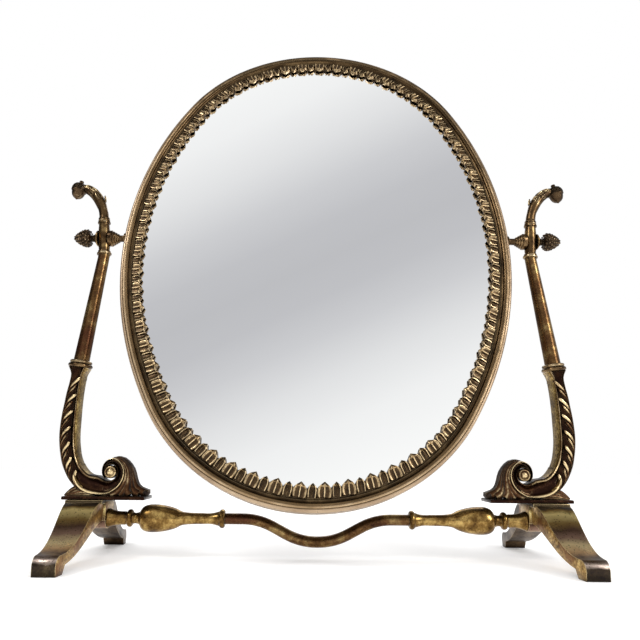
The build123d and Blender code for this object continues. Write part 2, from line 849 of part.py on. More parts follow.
foot_line = foot_top + plate_thickness
with BuildPart() as scroll_console:
    side_view = Plane.XZ
    with BuildSketch(side_view) as body_view:
        with BuildLine():
            draw_back()
            draw_curl(3)
            draw_hollow()
            Line(flat(inner_top), flat(outer_top))
        make_face()
    extrude(amount=console_depth / 2 - console_relief, both=True)
    # raised rims follow the edges and wind into the eye
    with BuildSketch(side_view):
        with BuildLine():
            draw_back()
            draw_curl(6)
        trace(line_width=2 * rim_width)
        with BuildLine():
            draw_hollow()
        trace(line_width=2 * rim_width)
        add(body_view.sketch_local, mode=Mode.INTERSECT)
    extrude(amount=console_depth / 2, both=True)
    # slanting leaf lobes climb the outer half of both faces
    with BuildSketch(side_view):
        with Locations(*lobe_places):
            Ellipse(lobe_length / 2, lobe_width / 2)
        add(body_view.sketch_local, mode=Mode.INTERSECT)
    extrude(amount=console_depth / 2 - 0.3, both=True)
    with BuildSketch(side_view):
        with Locations((curl[6][0] + 0.8, curl[6][1] - eye_drop)):
            Circle(eye_diameter / 2)
    extrude(amount=console_depth / 2 + eye_rise, both=True)
    # the leaf draped behind the volute runs down to the inner end of the plate
    with BuildSketch(side_view):
        with BuildLine():
            Spline(
                (curl[2][0], curl[2][1] - 0.4),
                (curl_left - 4.6, curl[2][1] - 2.2),
                (curl_left - 12.8, foot_line + 14.1),
                (plate_inner + 6.0, foot_line + 3.7),
                (plate_inner, foot_line),
                tangents=[(-1, 0.1), (-1, -0.5)],
            )
            Polyline(
                (plate_inner, foot_line),
                (plate_inner, foot_top),
                (curl[2][0], foot_top),
                (curl[2][0], curl[2][1] - 0.4),
            )
        make_face()
    extrude(amount=drape_depth / 2, both=True)
    # the wedge of leaf under the outer side of the curl
    wedge_top = (plate_outer - 9.8, foot_line + 8.4)
    with BuildSketch(side_view):
        with BuildLine():
            Polyline(
                (curl[1][0], foot_top),
                (curl[1][0] + 4, console_low + 3),
                (curl[0][0], console_low + 1),
                (curl[0][0] + 14.6, console_low + 4),
                wedge_top,
            )
            Spline(wedge_top, (plate_outer - 2.8, foot_line + 3.4), (plate_outer, foot_line))
            Polyline((plate_outer, foot_line), (plate_outer, foot_top), (curl[1][0], foot_top))
        make_face()
    extrude(amount=console_depth / 2, both=True)
    with Locations(((plate_inner + plate_outer) / 2, 0, foot_top)):
        Box(
            plate_outer - plate_inner,
            plate_depth,
            plate_thickness,
            align=(Align.CENTER, Align.CENTER, Align.MIN),
        )
    draw_plate_holes(foot_top, plate_screw_reach + 0.4, plate_screw_diameter / 2 + thread_play)
    with BuildSketch(Plane(origin=console_top, z_dir=-collar_section.y_dir)):
        Circle(joint_stud_diameter / 2 + thread_play)
    extrude(amount=joint_stud_depth, mode=Mode.SUBTRACT)
write_pair(scroll_console.part, "scroll_console")


# Crozier arms: a tube that bends outwards and ends in a hanging acorn
bend_one = block_lean + arm_lower_turn
lower_centre = arm_start + block_section.x_dir * arm_lower_radius
elbow = lower_centre - Vector(
    arm_lower_radius * cos(radians(bend_one)), 0, -arm_lower_radius * sin(radians(bend_one))
)
upper_centre = elbow + Vector(
    arm_upper_radius * cos(radians(bend_one)), 0, -arm_upper_radius * sin(radians(bend_one))
)
acorn_down = Vector(sin(radians(acorn_droop)), 0, -cos(radians(acorn_droop)))
acorn_out = Vector(cos(radians(acorn_droop)), 0, sin(radians(acorn_droop)))
acorn_middle = Vector(acorn_centre[0], 0, acorn_centre[1])
acorn_section = Plane(origin=acorn_middle, x_dir=acorn_out, z_dir=acorn_out.cross(acorn_down))
acorn_radius = acorn_diameter / 2

with BuildPart() as crozier:
    with BuildLine(Plane.XZ) as arm_path:
        CenterArc(flat(lower_centre), arm_lower_radius, 180 - block_lean, -arm_lower_turn)
        CenterArc(flat(upper_centre), arm_upper_radius, 180 - bend_one, -arm_upper_turn)
    with BuildSketch(Plane(origin=arm_start, z_dir=block_section.y_dir)):
        Circle(arm_diameter / 2)
    sweep(path=arm_path.wires()[0])
    # leaf sleeve round the elbow, with a spur that stands off on the inner side
    with BuildLine(Plane.XZ) as sleeve_path:
        CenterArc(flat(lower_centre), arm_lower_radius, 180 - block_lean - 12, 12 - arm_lower_turn)
        CenterArc(flat(upper_centre), arm_upper_radius, 180 - bend_one, -24)
    with BuildSketch(Plane(origin=sleeve_path.wires()[0] @ 0, z_dir=sleeve_path.wires()[0] % 0)):
        Circle(arm_leaf_diameter / 2)
    sweep(path=sleeve_path.wires()[0])
    spur_root = elbow - Vector(1.6, 0, 9.0)
    spur_end = Vector(spur_tip[0], 0, spur_tip[1])
    spur_run = spur_end - spur_root
    with BuildSketch(Plane(origin=spur_root, z_dir=spur_run)):
        Circle(spur_root_radius)
    with BuildSketch(Plane(origin=spur_end, z_dir=spur_run)):
        Circle(spur_tip_radius)
    loft()
    # acorn: stalk knob, cap with a beaded edge, and the nut below
    with BuildSketch(acorn_section):
        with BuildLine():
            knob_top = acorn_radius - acorn_length + 1.0
            cap_top = knob_top + 3.0
            stalk = (acorn_knob_radius - 0.4, cap_top)
            Line((0, acorn_radius + 1.0), (0, knob_top))
            ThreePointArc((0, knob_top), (acorn_knob_radius, knob_top + 1.4), stalk)
            ThreePointArc(
                stalk, (acorn_radius * 0.78, -acorn_radius * 0.74), (acorn_radius - 0.5, -1.8)
            )
            ThreePointArc(
                (acorn_radius - 0.5, -1.8), (acorn_radius, -0.7), (acorn_radius - 0.4, 0.4)
            )
            Line((acorn_radius - 0.4, 0.4), (acorn_radius - 0.9, 0.8))
            ThreePointArc(
                (acorn_radius - 0.9, 0.8),
                (acorn_radius * 0.7, acorn_radius * 0.66),
                (acorn_tip_radius, acorn_radius),
            )
            Line((acorn_tip_radius, acorn_radius), (0, acorn_radius + 1.0))
        make_face()
    revolve(axis=Axis(acorn_middle, acorn_down))
    with BuildSketch(Plane(origin=arm_start, z_dir=block_section.y_dir)):
        Circle(joint_stud_diameter / 2 + thread_play)
    extrude(amount=joint_stud_depth, mode=Mode.SUBTRACT)
write_pair(crozier.part, "crozier")

# Studs that hold the castings of one standard together, in blind tapped holes
stud_reach = joint_stud_depth - 0.4
stud_ends = [
    (
        console_top - collar_section.y_dir * stud_reach,
        collar_section.y_dir,
        2 * stud_reach + collar_height,
    ),
    (stem_top - block_section.y_dir * stud_reach, block_section.y_dir, 2 * stud_reach),
    (arm_start - block_section.y_dir * stud_reach, block_section.y_dir, 2 * stud_reach),
]
with BuildPart() as joint_studs:
    for start, direction, length in stud_ends:
        with BuildSketch(Plane(origin=start, z_dir=direction)):
            Circle(joint_stud_diameter / 2)
        extrude(amount=length)
write_pair(joint_studs.part, "joint_studs")


# Bridge feet: a block under the console, with an ogee leg to the front and one to the back
foot_inner_side = foot_centre - foot_width / 2
foot_outer_side = foot_centre + foot_width / 2
pad_face = foot_inner_side - pad_thickness
boss_radius = pad_half_width - 1.5
foot_front_view = Plane(origin=(foot_centre, 0, 0), x_dir=(0, 1, 0), z_dir=(1, 0, 0))

with BuildPart() as foot:
    with BuildSketch(foot_front_view):
        with BuildLine():
            shoulder_height = foot_top - 1.7
            toe_top = (toe_reach - toe_round, toe_height)
            toe_front = (toe_reach + 0.5, toe_round)
            heel = (toe_reach - sole_length - 4.0, heel_rise)
            Polyline((0, arch_height), (0, shoulder_height), (foot_half_top, shoulder_height))
            Bezier(
                (foot_half_top, shoulder_height),
                (foot_half_top + 20.5, shoulder_height - 2.0),
                (toe_reach - 43.1, toe_height + 0.5),
                toe_top,
            )
            ThreePointArc(toe_top, (toe_reach - 1.0, toe_height - 2.6), toe_front)
            Polyline(toe_front, (toe_reach - 0.5, 0), (toe_reach - 0.5 - sole_length, 0), heel)
            Bezier(
                heel,
                (heel[0] - 29.0, heel_rise + 4.3),
                (arch_half + 18.0, arch_height - 2.5),
                (arch_half, arch_height),
            )
            Line((arch_half, arch_height), (0, arch_height))
        make_face()
        mirror(about=Plane.YZ)
    extrude(amount=foot_width / 2, both=True)
    # in plan the legs narrow towards the toes
    with BuildSketch(Plane(origin=(foot_centre, 0, 0))):
        with BuildLine():
            Polyline(
                (-foot_width / 2, 0),
                (-foot_width / 2, foot_half_top),
                (-toe_width / 2, toe_reach + 1),
                (toe_width / 2, toe_reach + 1),
                (foot_width / 2, foot_half_top),
                (foot_width / 2, 0),
                (-foot_width / 2, 0),
            )
        make_face()
        mirror(about=Plane.XZ)
    extrude(amount=foot_top, mode=Mode.INTERSECT)
    with Locations((foot_centre, 0, foot_top)):
        Box(
            foot_cap_width,
            2 * foot_half_top,
            foot_cap_height,
            align=(Align.CENTER, Align.CENTER, Align.MAX),
        )
    # round boss and raised pad for the stretcher
    with BuildSketch(Plane(origin=(foot_outer_side, 0, stretcher_height), z_dir=(-1, 0, 0))):
        Circle(boss_radius)
    extrude(amount=foot_width + pad_thickness)
    with Locations((foot_inner_side, 0, (pad_low + foot_top) / 2)):
        Box(
            2 * pad_thickness,
            2 * pad_half_width,
            foot_top - pad_low - foot_cap_height,
        )
    draw_plate_holes(plate_screw_seat, foot_top, plate_screw_diameter / 2 + 0.15)
    draw_plate_holes(stretcher_height - boss_radius - 1, plate_screw_seat, plate_screw_head / 2 + 0.1)
    with BuildSketch(Plane(origin=(pad_face, 0, stretcher_height), z_dir=(1, 0, 0))):
        Circle(bolt_diameter / 2 + thread_play)
    extrude(amount=foot_width + pad_thickness, mode=Mode.SUBTRACT)
    with BuildSketch(Plane(origin=(foot_outer_side, 0, stretcher_height), z_dir=(-1, 0, 0))):
        Circle(bolt_head_diameter / 2 + 0.1)
    extrude(amount=bolt_head_height, mode=Mode.SUBTRACT)
write_pair(foot.part, "foot")

# Screws up through the block into the plate
with BuildPart() as plate_screws:
    with Locations((plate_screw_place, 0, plate_screw_seat)):
        with GridLocations(1, plate_screw_spacing, 1, 2):
            Cylinder(
                plate_screw_head / 2,
                plate_screw_head_height,
                align=(Align.CENTER, Align.CENTER, Align.MAX),
            )
            Cylinder(
                plate_screw_diameter / 2,
                plate_screw_reach - plate_screw_seat,
                align=(Align.CENTER, Align.CENTER, Align.MIN),
            )
write_pair(plate_screws.part, "plate_screws")


# Stretcher: two turned balusters joined by a rod that dips in the middle
turning = Plane(origin=(0, 0, stretcher_height), x_dir=(1, 0, 0), z_dir=(0, -1, 0))
turning_axis = Axis((0, 0, stretcher_height), (1, 0, 0))
baluster_inner = pad_face - baluster_length
ring_end = baluster_inner + ring_width
bead_middle = pad_face - bead_place
flange_end = bead_middle + 4.7

with BuildPart() as baluster:
    with BuildSketch(turning):
        with BuildLine():
            flange = (pad_face - 1.0, flange_radius)
            waist = (flange_end, bead_radius - 1.8)
            bead_out = (bead_middle + 2.5, bead_radius - 2.4)
            bead_in = (bead_middle - 2.5, bead_radius - 2.5)
            bulb_start = (bead_middle - 9.3, bead_radius - 1.3)
            neck = (pad_face - neck_place, neck_radius)
            ring_foot = (ring_end, ring_radius - 1.6)
            ring_face = (baluster_inner, ring_radius - 1.5)
            Polyline((pad_face, 0), (pad_face, flange_radius - 0.3), flange)
            ThreePointArc(flange, (pad_face - 8.3, flange_radius - 2.2), waist)
            Line(waist, bead_out)
            ThreePointArc(bead_out, (bead_middle, bead_radius), bead_in)
            ThreePointArc(bead_in, (bead_middle - 6.3, neck_radius), bulb_start)
            Spline(
                bulb_start,
                (pad_face - bulb_place, bulb_radius),
                (pad_face - bulb_place - 21.2, bulb_radius - 3.8),
                neck,
                tangents=[(-0.35, 1), (-1, 0)],
            )
            ThreePointArc(neck, (ring_end + 4.9, neck_radius + 0.4), ring_foot)
            ThreePointArc(ring_foot, (ring_end - ring_width / 2, ring_radius), ring_face)
            Polyline(ring_face, (baluster_inner, 0), (pad_face, 0))
        make_face()
    revolve(axis=turning_axis)
    with BuildSketch(Plane(origin=(pad_face, 0, stretcher_height), z_dir=(-1, 0, 0))):
        Circle(bolt_diameter / 2 + thread_play)
    extrude(amount=bolt_engagement + 0.5, mode=Mode.SUBTRACT)
    with BuildSketch(Plane(origin=(baluster_inner, 0, stretcher_height), z_dir=(1, 0, 0))):
        Circle(rod_spigot_diameter / 2 + thread_play)
    extrude(amount=rod_spigot_length + 0.5, mode=Mode.SUBTRACT)
write_pair(baluster.part, "stretcher_baluster")

rod_bend_radius = baluster_inner * 0.71
dip_half = baluster_inner * 0.18
bend_reach = dip_half + (stretcher_height - rod_low) / tan(radians(rod_slope))
with BuildPart() as stretcher_rod:
    with BuildLine(Plane.XZ) as rod_path:
        FilletPolyline(
            (-baluster_inner, stretcher_height),
            (-bend_reach, stretcher_height),
            (-dip_half, rod_low),
            (dip_half, rod_low),
            (bend_reach, stretcher_height),
            (baluster_inner, stretcher_height),
            radius=rod_bend_radius,
        )
    with BuildSketch(Plane(origin=(-baluster_inner, 0, stretcher_height), z_dir=(1, 0, 0))):
        Circle(rod_diameter / 2)
    sweep(path=rod_path.wires()[0])
    for side in (1, -1):
        with BuildSketch(
            Plane(origin=(side * baluster_inner, 0, stretcher_height), z_dir=(side, 0, 0))
        ):
            Circle(rod_spigot_diameter / 2)
        extrude(amount=rod_spigot_length)
write(stretcher_rod.part, "stretcher_rod")

# Bolts from the outer side of each foot into the baluster
bolt_seat = foot_outer_side - bolt_head_height
with BuildPart() as stretcher_bolt:
    with BuildSketch(Plane(origin=(bolt_seat, 0, stretcher_height), z_dir=(1, 0, 0))):
        Circle(bolt_head_diameter / 2)
    extrude(amount=bolt_head_height - 0.4)
    with BuildSketch(Plane(origin=(bolt_seat, 0, stretcher_height), z_dir=(-1, 0, 0))):
        Circle(bolt_diameter / 2)
    extrude(amount=bolt_seat - pad_face + bolt_engagement)
write_pair(stretcher_bolt.part, "stretcher_bolt")
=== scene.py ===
import math

import bpy
from mathutils import Matrix, Vector


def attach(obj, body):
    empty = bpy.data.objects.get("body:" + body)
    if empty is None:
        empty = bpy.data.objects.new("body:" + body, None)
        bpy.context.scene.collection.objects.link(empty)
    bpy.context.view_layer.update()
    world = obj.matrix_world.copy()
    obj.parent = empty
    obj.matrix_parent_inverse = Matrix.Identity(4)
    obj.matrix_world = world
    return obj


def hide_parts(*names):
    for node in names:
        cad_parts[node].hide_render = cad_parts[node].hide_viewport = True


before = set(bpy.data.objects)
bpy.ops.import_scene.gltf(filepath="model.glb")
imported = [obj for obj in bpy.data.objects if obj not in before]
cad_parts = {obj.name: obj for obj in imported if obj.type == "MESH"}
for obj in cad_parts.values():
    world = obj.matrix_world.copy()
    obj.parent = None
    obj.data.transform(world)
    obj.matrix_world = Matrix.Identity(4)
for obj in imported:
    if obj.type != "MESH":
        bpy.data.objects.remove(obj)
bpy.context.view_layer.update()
mm = 0.001


# Small tools for the bench
weldGap = 0.02 * mm


def clearPick():
    if bpy.context.mode != "OBJECT":
        bpy.ops.object.mode_set(mode="OBJECT")
    bpy.ops.object.select_all(action="DESELECT")


def pick(*objs):
    clearPick()
    for obj in objs:
        obj.hide_set(False)
        obj.select_set(True)
    bpy.context.view_layer.objects.active = objs[0]


def editAll():
    bpy.ops.object.mode_set(mode="EDIT")
    bpy.ops.mesh.select_all(action="SELECT")


def doneEdit():
    bpy.ops.object.mode_set(mode="OBJECT")


def editChosen(parts, chosen):
    # edit mode with only the chosen vertices or faces picked
    for part in parts:
        part.select = chosen(part)
    bpy.ops.object.mode_set(mode="EDIT")


def drawChain(points, closed=False):
    # one vertex, extruded from point to point
    clearPick()
    bpy.ops.mesh.primitive_plane_add(size=mm, location=(0, 0, 0))
    obj = bpy.context.active_object
    editAll()
    bpy.ops.mesh.merge(type="CENTER")
    bpy.ops.transform.translate(value=Vector(points[0]))
    for before, after in zip(points, points[1:]):
        step = Vector(after) - Vector(before)
        bpy.ops.mesh.extrude_vertices_move(TRANSFORM_OT_translate={"value": step})
    if closed:
        doneEdit()
        ends = (0, len(obj.data.vertices) - 1)
        editChosen(obj.data.vertices, lambda v: v.index in ends)
        bpy.ops.mesh.edge_face_add()
    doneEdit()
    return obj


def cleanUp(obj):
    pick(obj)
    editAll()
    bpy.ops.mesh.remove_doubles(threshold=weldGap)
    bpy.ops.mesh.normals_make_consistent(inside=False)
    doneEdit()


def smooth(obj, angle):
    pick(obj)
    bpy.ops.object.shade_smooth_by_angle(angle=math.radians(angle))


def useModifier(obj, kind, **settings):
    mod = obj.modifiers.new(kind, kind)
    for key, value in settings.items():
        setattr(mod, key, value)
    pick(obj)
    bpy.ops.object.modifier_apply(modifier=mod.name)


def bevelEdges(obj, width, segments=2, angle=35):
    useModifier(obj, "BEVEL", width=width, segments=segments, limit_method="ANGLE", angle_limit=math.radians(angle))


def copyOf(obj):
    twin = obj.copy()
    twin.data = obj.data.copy()
    bpy.context.scene.collection.objects.link(twin)
    return twin


def joined(objs):
    pick(*objs)
    bpy.ops.object.join()
    return objs[0]


def dress(obj, material):
    obj.data.materials.clear()
    obj.data.materials.append(material)


def dressSome(obj, material, chosen):
    # another finish for the faces chosen by place and normal
    obj.data.materials.append(material)
    slot = len(obj.data.materials) - 1
    for face in obj.data.polygons:
        if chosen(face.center / mm, face.normal):
            face.material_index = slot


def markRubAndLight(obj, rule):
    # how bright each point is marked, 0 to 1, from its place in mm: rubbed wear, and on the rim also painted light
    # and shade
    mark = obj.data.attributes.new("rub", "FLOAT", "POINT")
    for v, spot in zip(obj.data.vertices, mark.data):
        spot.value = min(1.0, max(0.0, rule(v.co / mm)))


def polish(obj, rule, angle, material):
    # rub marks, soft shading and one finish
    markRubAndLight(obj, rule)
    smooth(obj, angle)
    dress(obj, material)
    return obj


def settle(obj, name, body, node):
    obj.name = name
    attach(obj, body)
    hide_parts(node)


def settlePair(parts, name, body, node):
    # a right-hand piece joined from its parts, and its mirrored left-hand twin
    right = joined(parts)
    left = copyOf(right)
    left.data.transform(Matrix.Scale(-1, 4, (1, 0, 0)))
    left.data.flip_normals()
    for piece, hand in ((right, "right"), (left, "left")):
        settle(piece, f"{name}_{hand}", body.format(hand), f"{node}_{hand}")


def castFrom(node, bevel):
    # a merged copy of a turned or cast solid, with softened edges
    obj = copyOf(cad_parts[node])
    obj.parent = None
    for key in list(obj.keys()):
        del obj[key]
    pick(obj)
    editAll()
    bpy.ops.mesh.customdata_custom_splitnormals_clear()
    bpy.ops.mesh.remove_doubles(threshold=0.004 * mm)
    bpy.ops.mesh.dissolve_limited(angle_limit=math.radians(0.4))
    doneEdit()
    if bevel:
        bevelEdges(obj, bevel)
    smooth(obj, 38)
    return obj


# Camera: a low viewpoint that looks up a little
camera = {
    "place": (-0.01772, -0.570, 0.08693),
    "pitch": 13.06,
    "roll": 0.464,
    "lens": 33.75,
    "shiftX": 0.03275,
}
cameraData = bpy.data.cameras.new("camera")
cameraObject = bpy.data.objects.new("camera", cameraData)
bpy.context.scene.collection.objects.link(cameraObject)
cameraData.sensor_width = 36
cameraData.lens = camera["lens"]
cameraData.shift_x = camera["shiftX"]
cameraData.clip_start = 0.01
cameraObject.matrix_world = (
    Matrix.Translation(camera["place"])
    @ Matrix.Rotation(math.radians(90 + camera["pitch"]), 4, "X")
    @ Matrix.Rotation(math.radians(camera["roll"]), 4, "Z")
)
bpy.context.scene.camera = cameraObject
bpy.context.scene.view_settings.view_transform = "Standard"
print("camera set")


# Studio: pale floor, white surround, soft lamps, and a soft gradient that only the sharp glass reflects
studio = {
    "floor": 0.97,
    "floorGlow": 0.14,
    "ambient": 1.0,
    "shade": 0.05,
    "backGlow": 0.42,
    "sideGlow": 0.70,
    "frontGlow": 0.80,
    "aboveGlow": 0.76,
    "key": 9.0,
    "fill": 12.0,
    "rim": 5.0,
}
white = (1, 1, 1, 1)


def setInputs(tree, node, inputs):
    # a number or colour is set on its socket, and another node's socket is linked to it
    for key, value in inputs.items():
        if isinstance(value, bpy.types.NodeSocket):
            tree.links.new(value, node.inputs[key])
        else:
            node.inputs[key].default_value = value


def addNode(tree, kind, inputs=None, **settings):
    node = tree.nodes.new(kind)
    for key, value in settings.items():
        setattr(node, key, value)
    setInputs(tree, node, inputs or {})
    return node


def reckon(tree, operation, *values):
    return addNode(tree, "ShaderNodeMath", dict(enumerate(values)), operation=operation).outputs[0]


def dot(tree, one, other):
    return addNode(tree, "ShaderNodeVectorMath", {0: one, 1: other}, operation="DOT_PRODUCT").outputs["Value"]


def ease(tree, source, low, high, least=0.0, most=1.0, curve="SMOOTHSTEP"):
    # from least to most while the source goes from low to high
    inputs = {"Value": source, "From Min": low, "From Max": high, "To Min": least, "To Max": most}
    return addNode(tree, "ShaderNodeMapRange", inputs, interpolation_type=curve).outputs["Result"]


def blend(tree, share, under, over, **settings):
    # one colour laid over another by a share
    return addNode(tree, "ShaderNodeMix", {0: share, 6: under, 7: over}, data_type="RGBA", **settings).outputs[2]


def addRamp(tree, source, stops):
    # a run of colours, each stop a place and a colour
    node = addNode(tree, "ShaderNodeValToRGB", {"Fac": source})
    marks = node.color_ramp.elements
    for number, (place, colour) in enumerate(stops):
        last = number == len(stops) - 1
        mark = marks[0] if number == 0 else marks[-1] if last else marks.new(place)
        mark.position = place
        mark.color = (*colour, 1)
    return node.outputs["Color"]


def addNoise(tree, spot, scale, detail, roughness=0.5, distortion=0.0):
    inputs = {"Vector": spot, "Scale": scale, "Detail": detail, "Roughness": roughness, "Distortion": distortion}
    return addNode(tree, "ShaderNodeTexNoise", inputs)


def addRelief(tree, height, strength, depth):
    inputs = {"Height": height, "Strength": strength, "Distance": depth * mm}
    return addNode(tree, "ShaderNodeBump", inputs).outputs["Normal"]


def newMaterial(name):
    material = bpy.data.materials.new(name)
    material.use_nodes = True
    tree = material.node_tree
    return material, tree, tree.nodes["Principled BSDF"]


clearPick()
bpy.ops.mesh.primitive_circle_add(vertices=96, radius=4.0, fill_type="NGON", location=(0, 0, -0.0002))
floorPiece = bpy.context.active_object
floorPiece.name = "floor"
floorMaterial, floorTree, floorShader = newMaterial("paleFloor")
setInputs(floorTree, floorShader, {
    "Base Color": (studio["floor"],) * 3 + (1,), "Roughness": 0.9, "Specular IOR Level": 0.1,
    "Emission Color": white, "Emission Strength": studio["floorGlow"],
})
dress(floorPiece, floorMaterial)

world = bpy.data.worlds.new("studioWorld")
bpy.context.scene.world = world
world.use_nodes = True
worldTree = world.node_tree
worldTree.nodes.clear()
lookWay = addNode(worldTree, "ShaderNodeTexCoord").outputs["Generated"]

# what the metal reflects: a grey backdrop, a bright side to the right, a window in front and one above, dark between
brightest = studio["shade"]
for way, first, last, glow in (
    ((0.0, 1.0, 0.0), 0.25, 0.85, studio["backGlow"]),
    ((0.97, 0.10, 0.10), 0.55, 0.92, studio["sideGlow"]),
    ((-0.20, -0.93, 0.30), 0.80, 0.97, studio["frontGlow"]),
    ((0.06, -0.777, 0.629), 0.66, 0.84, studio["aboveGlow"]),
):
    lobeGlow = ease(worldTree, dot(worldTree, lookWay, way), first, last, studio["shade"], glow)
    brightest = reckon(worldTree, "MAXIMUM", brightest, lobeGlow)

# what the glass reflects: a diagonal grey band that pales to white, laid on a slanting sheet far in front
glassView = {
    "elevation": 39.0,
    "turn": 0.06,
    "height": 0.3,
    "distance": 2.2,
    "across": 0.355,
    "up": -0.8689,
    "shift": 0.187,
    "nearest": 0.12,
    "glassTilt": 13.0,
    "glassPivot": 0.3016,
    "stops": ((0.0, 0.52, 1.05), (0.144, 0.54, 1.05), (0.30, 0.62, 1.04), (0.48, 0.765, 1.02),
              (0.68, 0.89, 1.01), (1.0, 0.985, 1.0)),
}
elevation, glassTilt = math.radians(glassView["elevation"]), math.radians(glassView["glassTilt"])
sheetWay = Vector((glassView["turn"], -math.cos(elevation), math.sin(elevation))).normalized()
slopeWay = sheetWay.to_track_quat("Z", "Y") @ Vector((glassView["across"], glassView["up"], 0))
sheetCentre = Vector((0, 0, glassView["height"])) + sheetWay * glassView["distance"]
glassNormal = Vector((0, -math.cos(glassTilt), math.sin(glassTilt)))
viewer = Vector(camera["place"])
viewer -= 2 * (viewer - Vector((0, 0, glassView["glassPivot"]))).dot(glassNormal) * glassNormal
climb = dot(worldTree, lookWay, slopeWay * (sheetCentre - viewer).dot(sheetWay))
inFront = reckon(worldTree, "MAXIMUM", dot(worldTree, lookWay, sheetWay), glassView["nearest"])
slide = glassView["shift"] + (viewer - sheetCentre).dot(slopeWay)
onSheet = reckon(worldTree, "ADD", reckon(worldTree, "DIVIDE", climb, inFront), slide)
glassColour = addRamp(worldTree, reckon(worldTree, "ABSOLUTE", onSheet), [
    (place, (glow, glow * 1.01, glow * cool)) for place, glow, cool in glassView["stops"]
])

# everything is lit by the plain surround; polished metal, the sharp glass and the camera each see their own
rays = addNode(worldTree, "ShaderNodeLightPath").outputs
surround = addNode(worldTree, "ShaderNodeBackground", {"Color": white, "Strength": studio["ambient"]}).outputs[0]
for ray, inputs in (
    ("Is Glossy Ray", {"Color": white, "Strength": brightest}),
    ("Is Singular Ray", {"Color": glassColour, "Strength": 1.0}),
    ("Is Camera Ray", {"Color": white, "Strength": 1.0}),
):
    own = addNode(worldTree, "ShaderNodeBackground", inputs).outputs[0]
    surround = addNode(worldTree, "ShaderNodeMixShader", {0: rays[ray], 1: surround, 2: own}).outputs[0]
addNode(worldTree, "ShaderNodeOutputWorld", {0: surround})


def addLamp(name, place, aim, size, power):
    lamp = bpy.data.lights.new(name, "AREA")
    lamp.shape = "RECTANGLE"
    lamp.size, lamp.size_y = size
    lamp.energy = power
    obj = bpy.data.objects.new(name, lamp)
    bpy.context.scene.collection.objects.link(obj)
    obj.location = place
    obj.rotation_mode = "QUATERNION"
    obj.rotation_quaternion = (Vector(aim) - Vector(place)).to_track_quat("-Z", "Y")


addLamp("keyLamp", (-1.1, -0.9, 1.5), (0, 0, 0.2), (0.5, 0.5), studio["key"])
addLamp("fillLamp", (1.3, -1.0, 0.8), (0, 0, 0.25), (0.4, 0.9), studio["fill"])
addLamp("backLamp", (0.2, 1.4, 1.3), (0, 0, 0.25), (1.2, 0.6), studio["rim"])

print("studio set")


# Finishes: aged bronze in several tones, with lighter and darker copies that carry painted highlights, a painted
# reflection and painted shade, all on object coordinates. What a finish leaves out is as usual
usualFinish = {
    "speck": 0.3, "pits": 0.5, "worn": 0.9, "wornWidth": 0.8, "edge": (0.80, 0.62, 0.36),
    "hollow": 5, "clean": 0.9, "grime": 0.9, "metal": 0.92, "relief": 0.25, "rubbed": False,
}
# where each kind of age, and the darkening in the hollows, starts on its measure and where it is full
ageing = {
    "tones": (0.36, 0.5, 0.64),
    "rubBase": (0.5, 0.12),
    "rubReach": 0.27,
    "wander": 0.10,
    "bloom": (0.47, 0.62),
    "bloomMost": 0.8,
    "pits": (0.30, 0.12),
    "worn": (0.995, 0.84),
    "grimeFull": 0.25,
    "grime": (0.012, 0.007, 0.004, 1),
    "gloss": (0.3, 0.7),
    "duller": 0.12,
    "glossier": 0.08,
    "reliefDepth": 0.25,
}


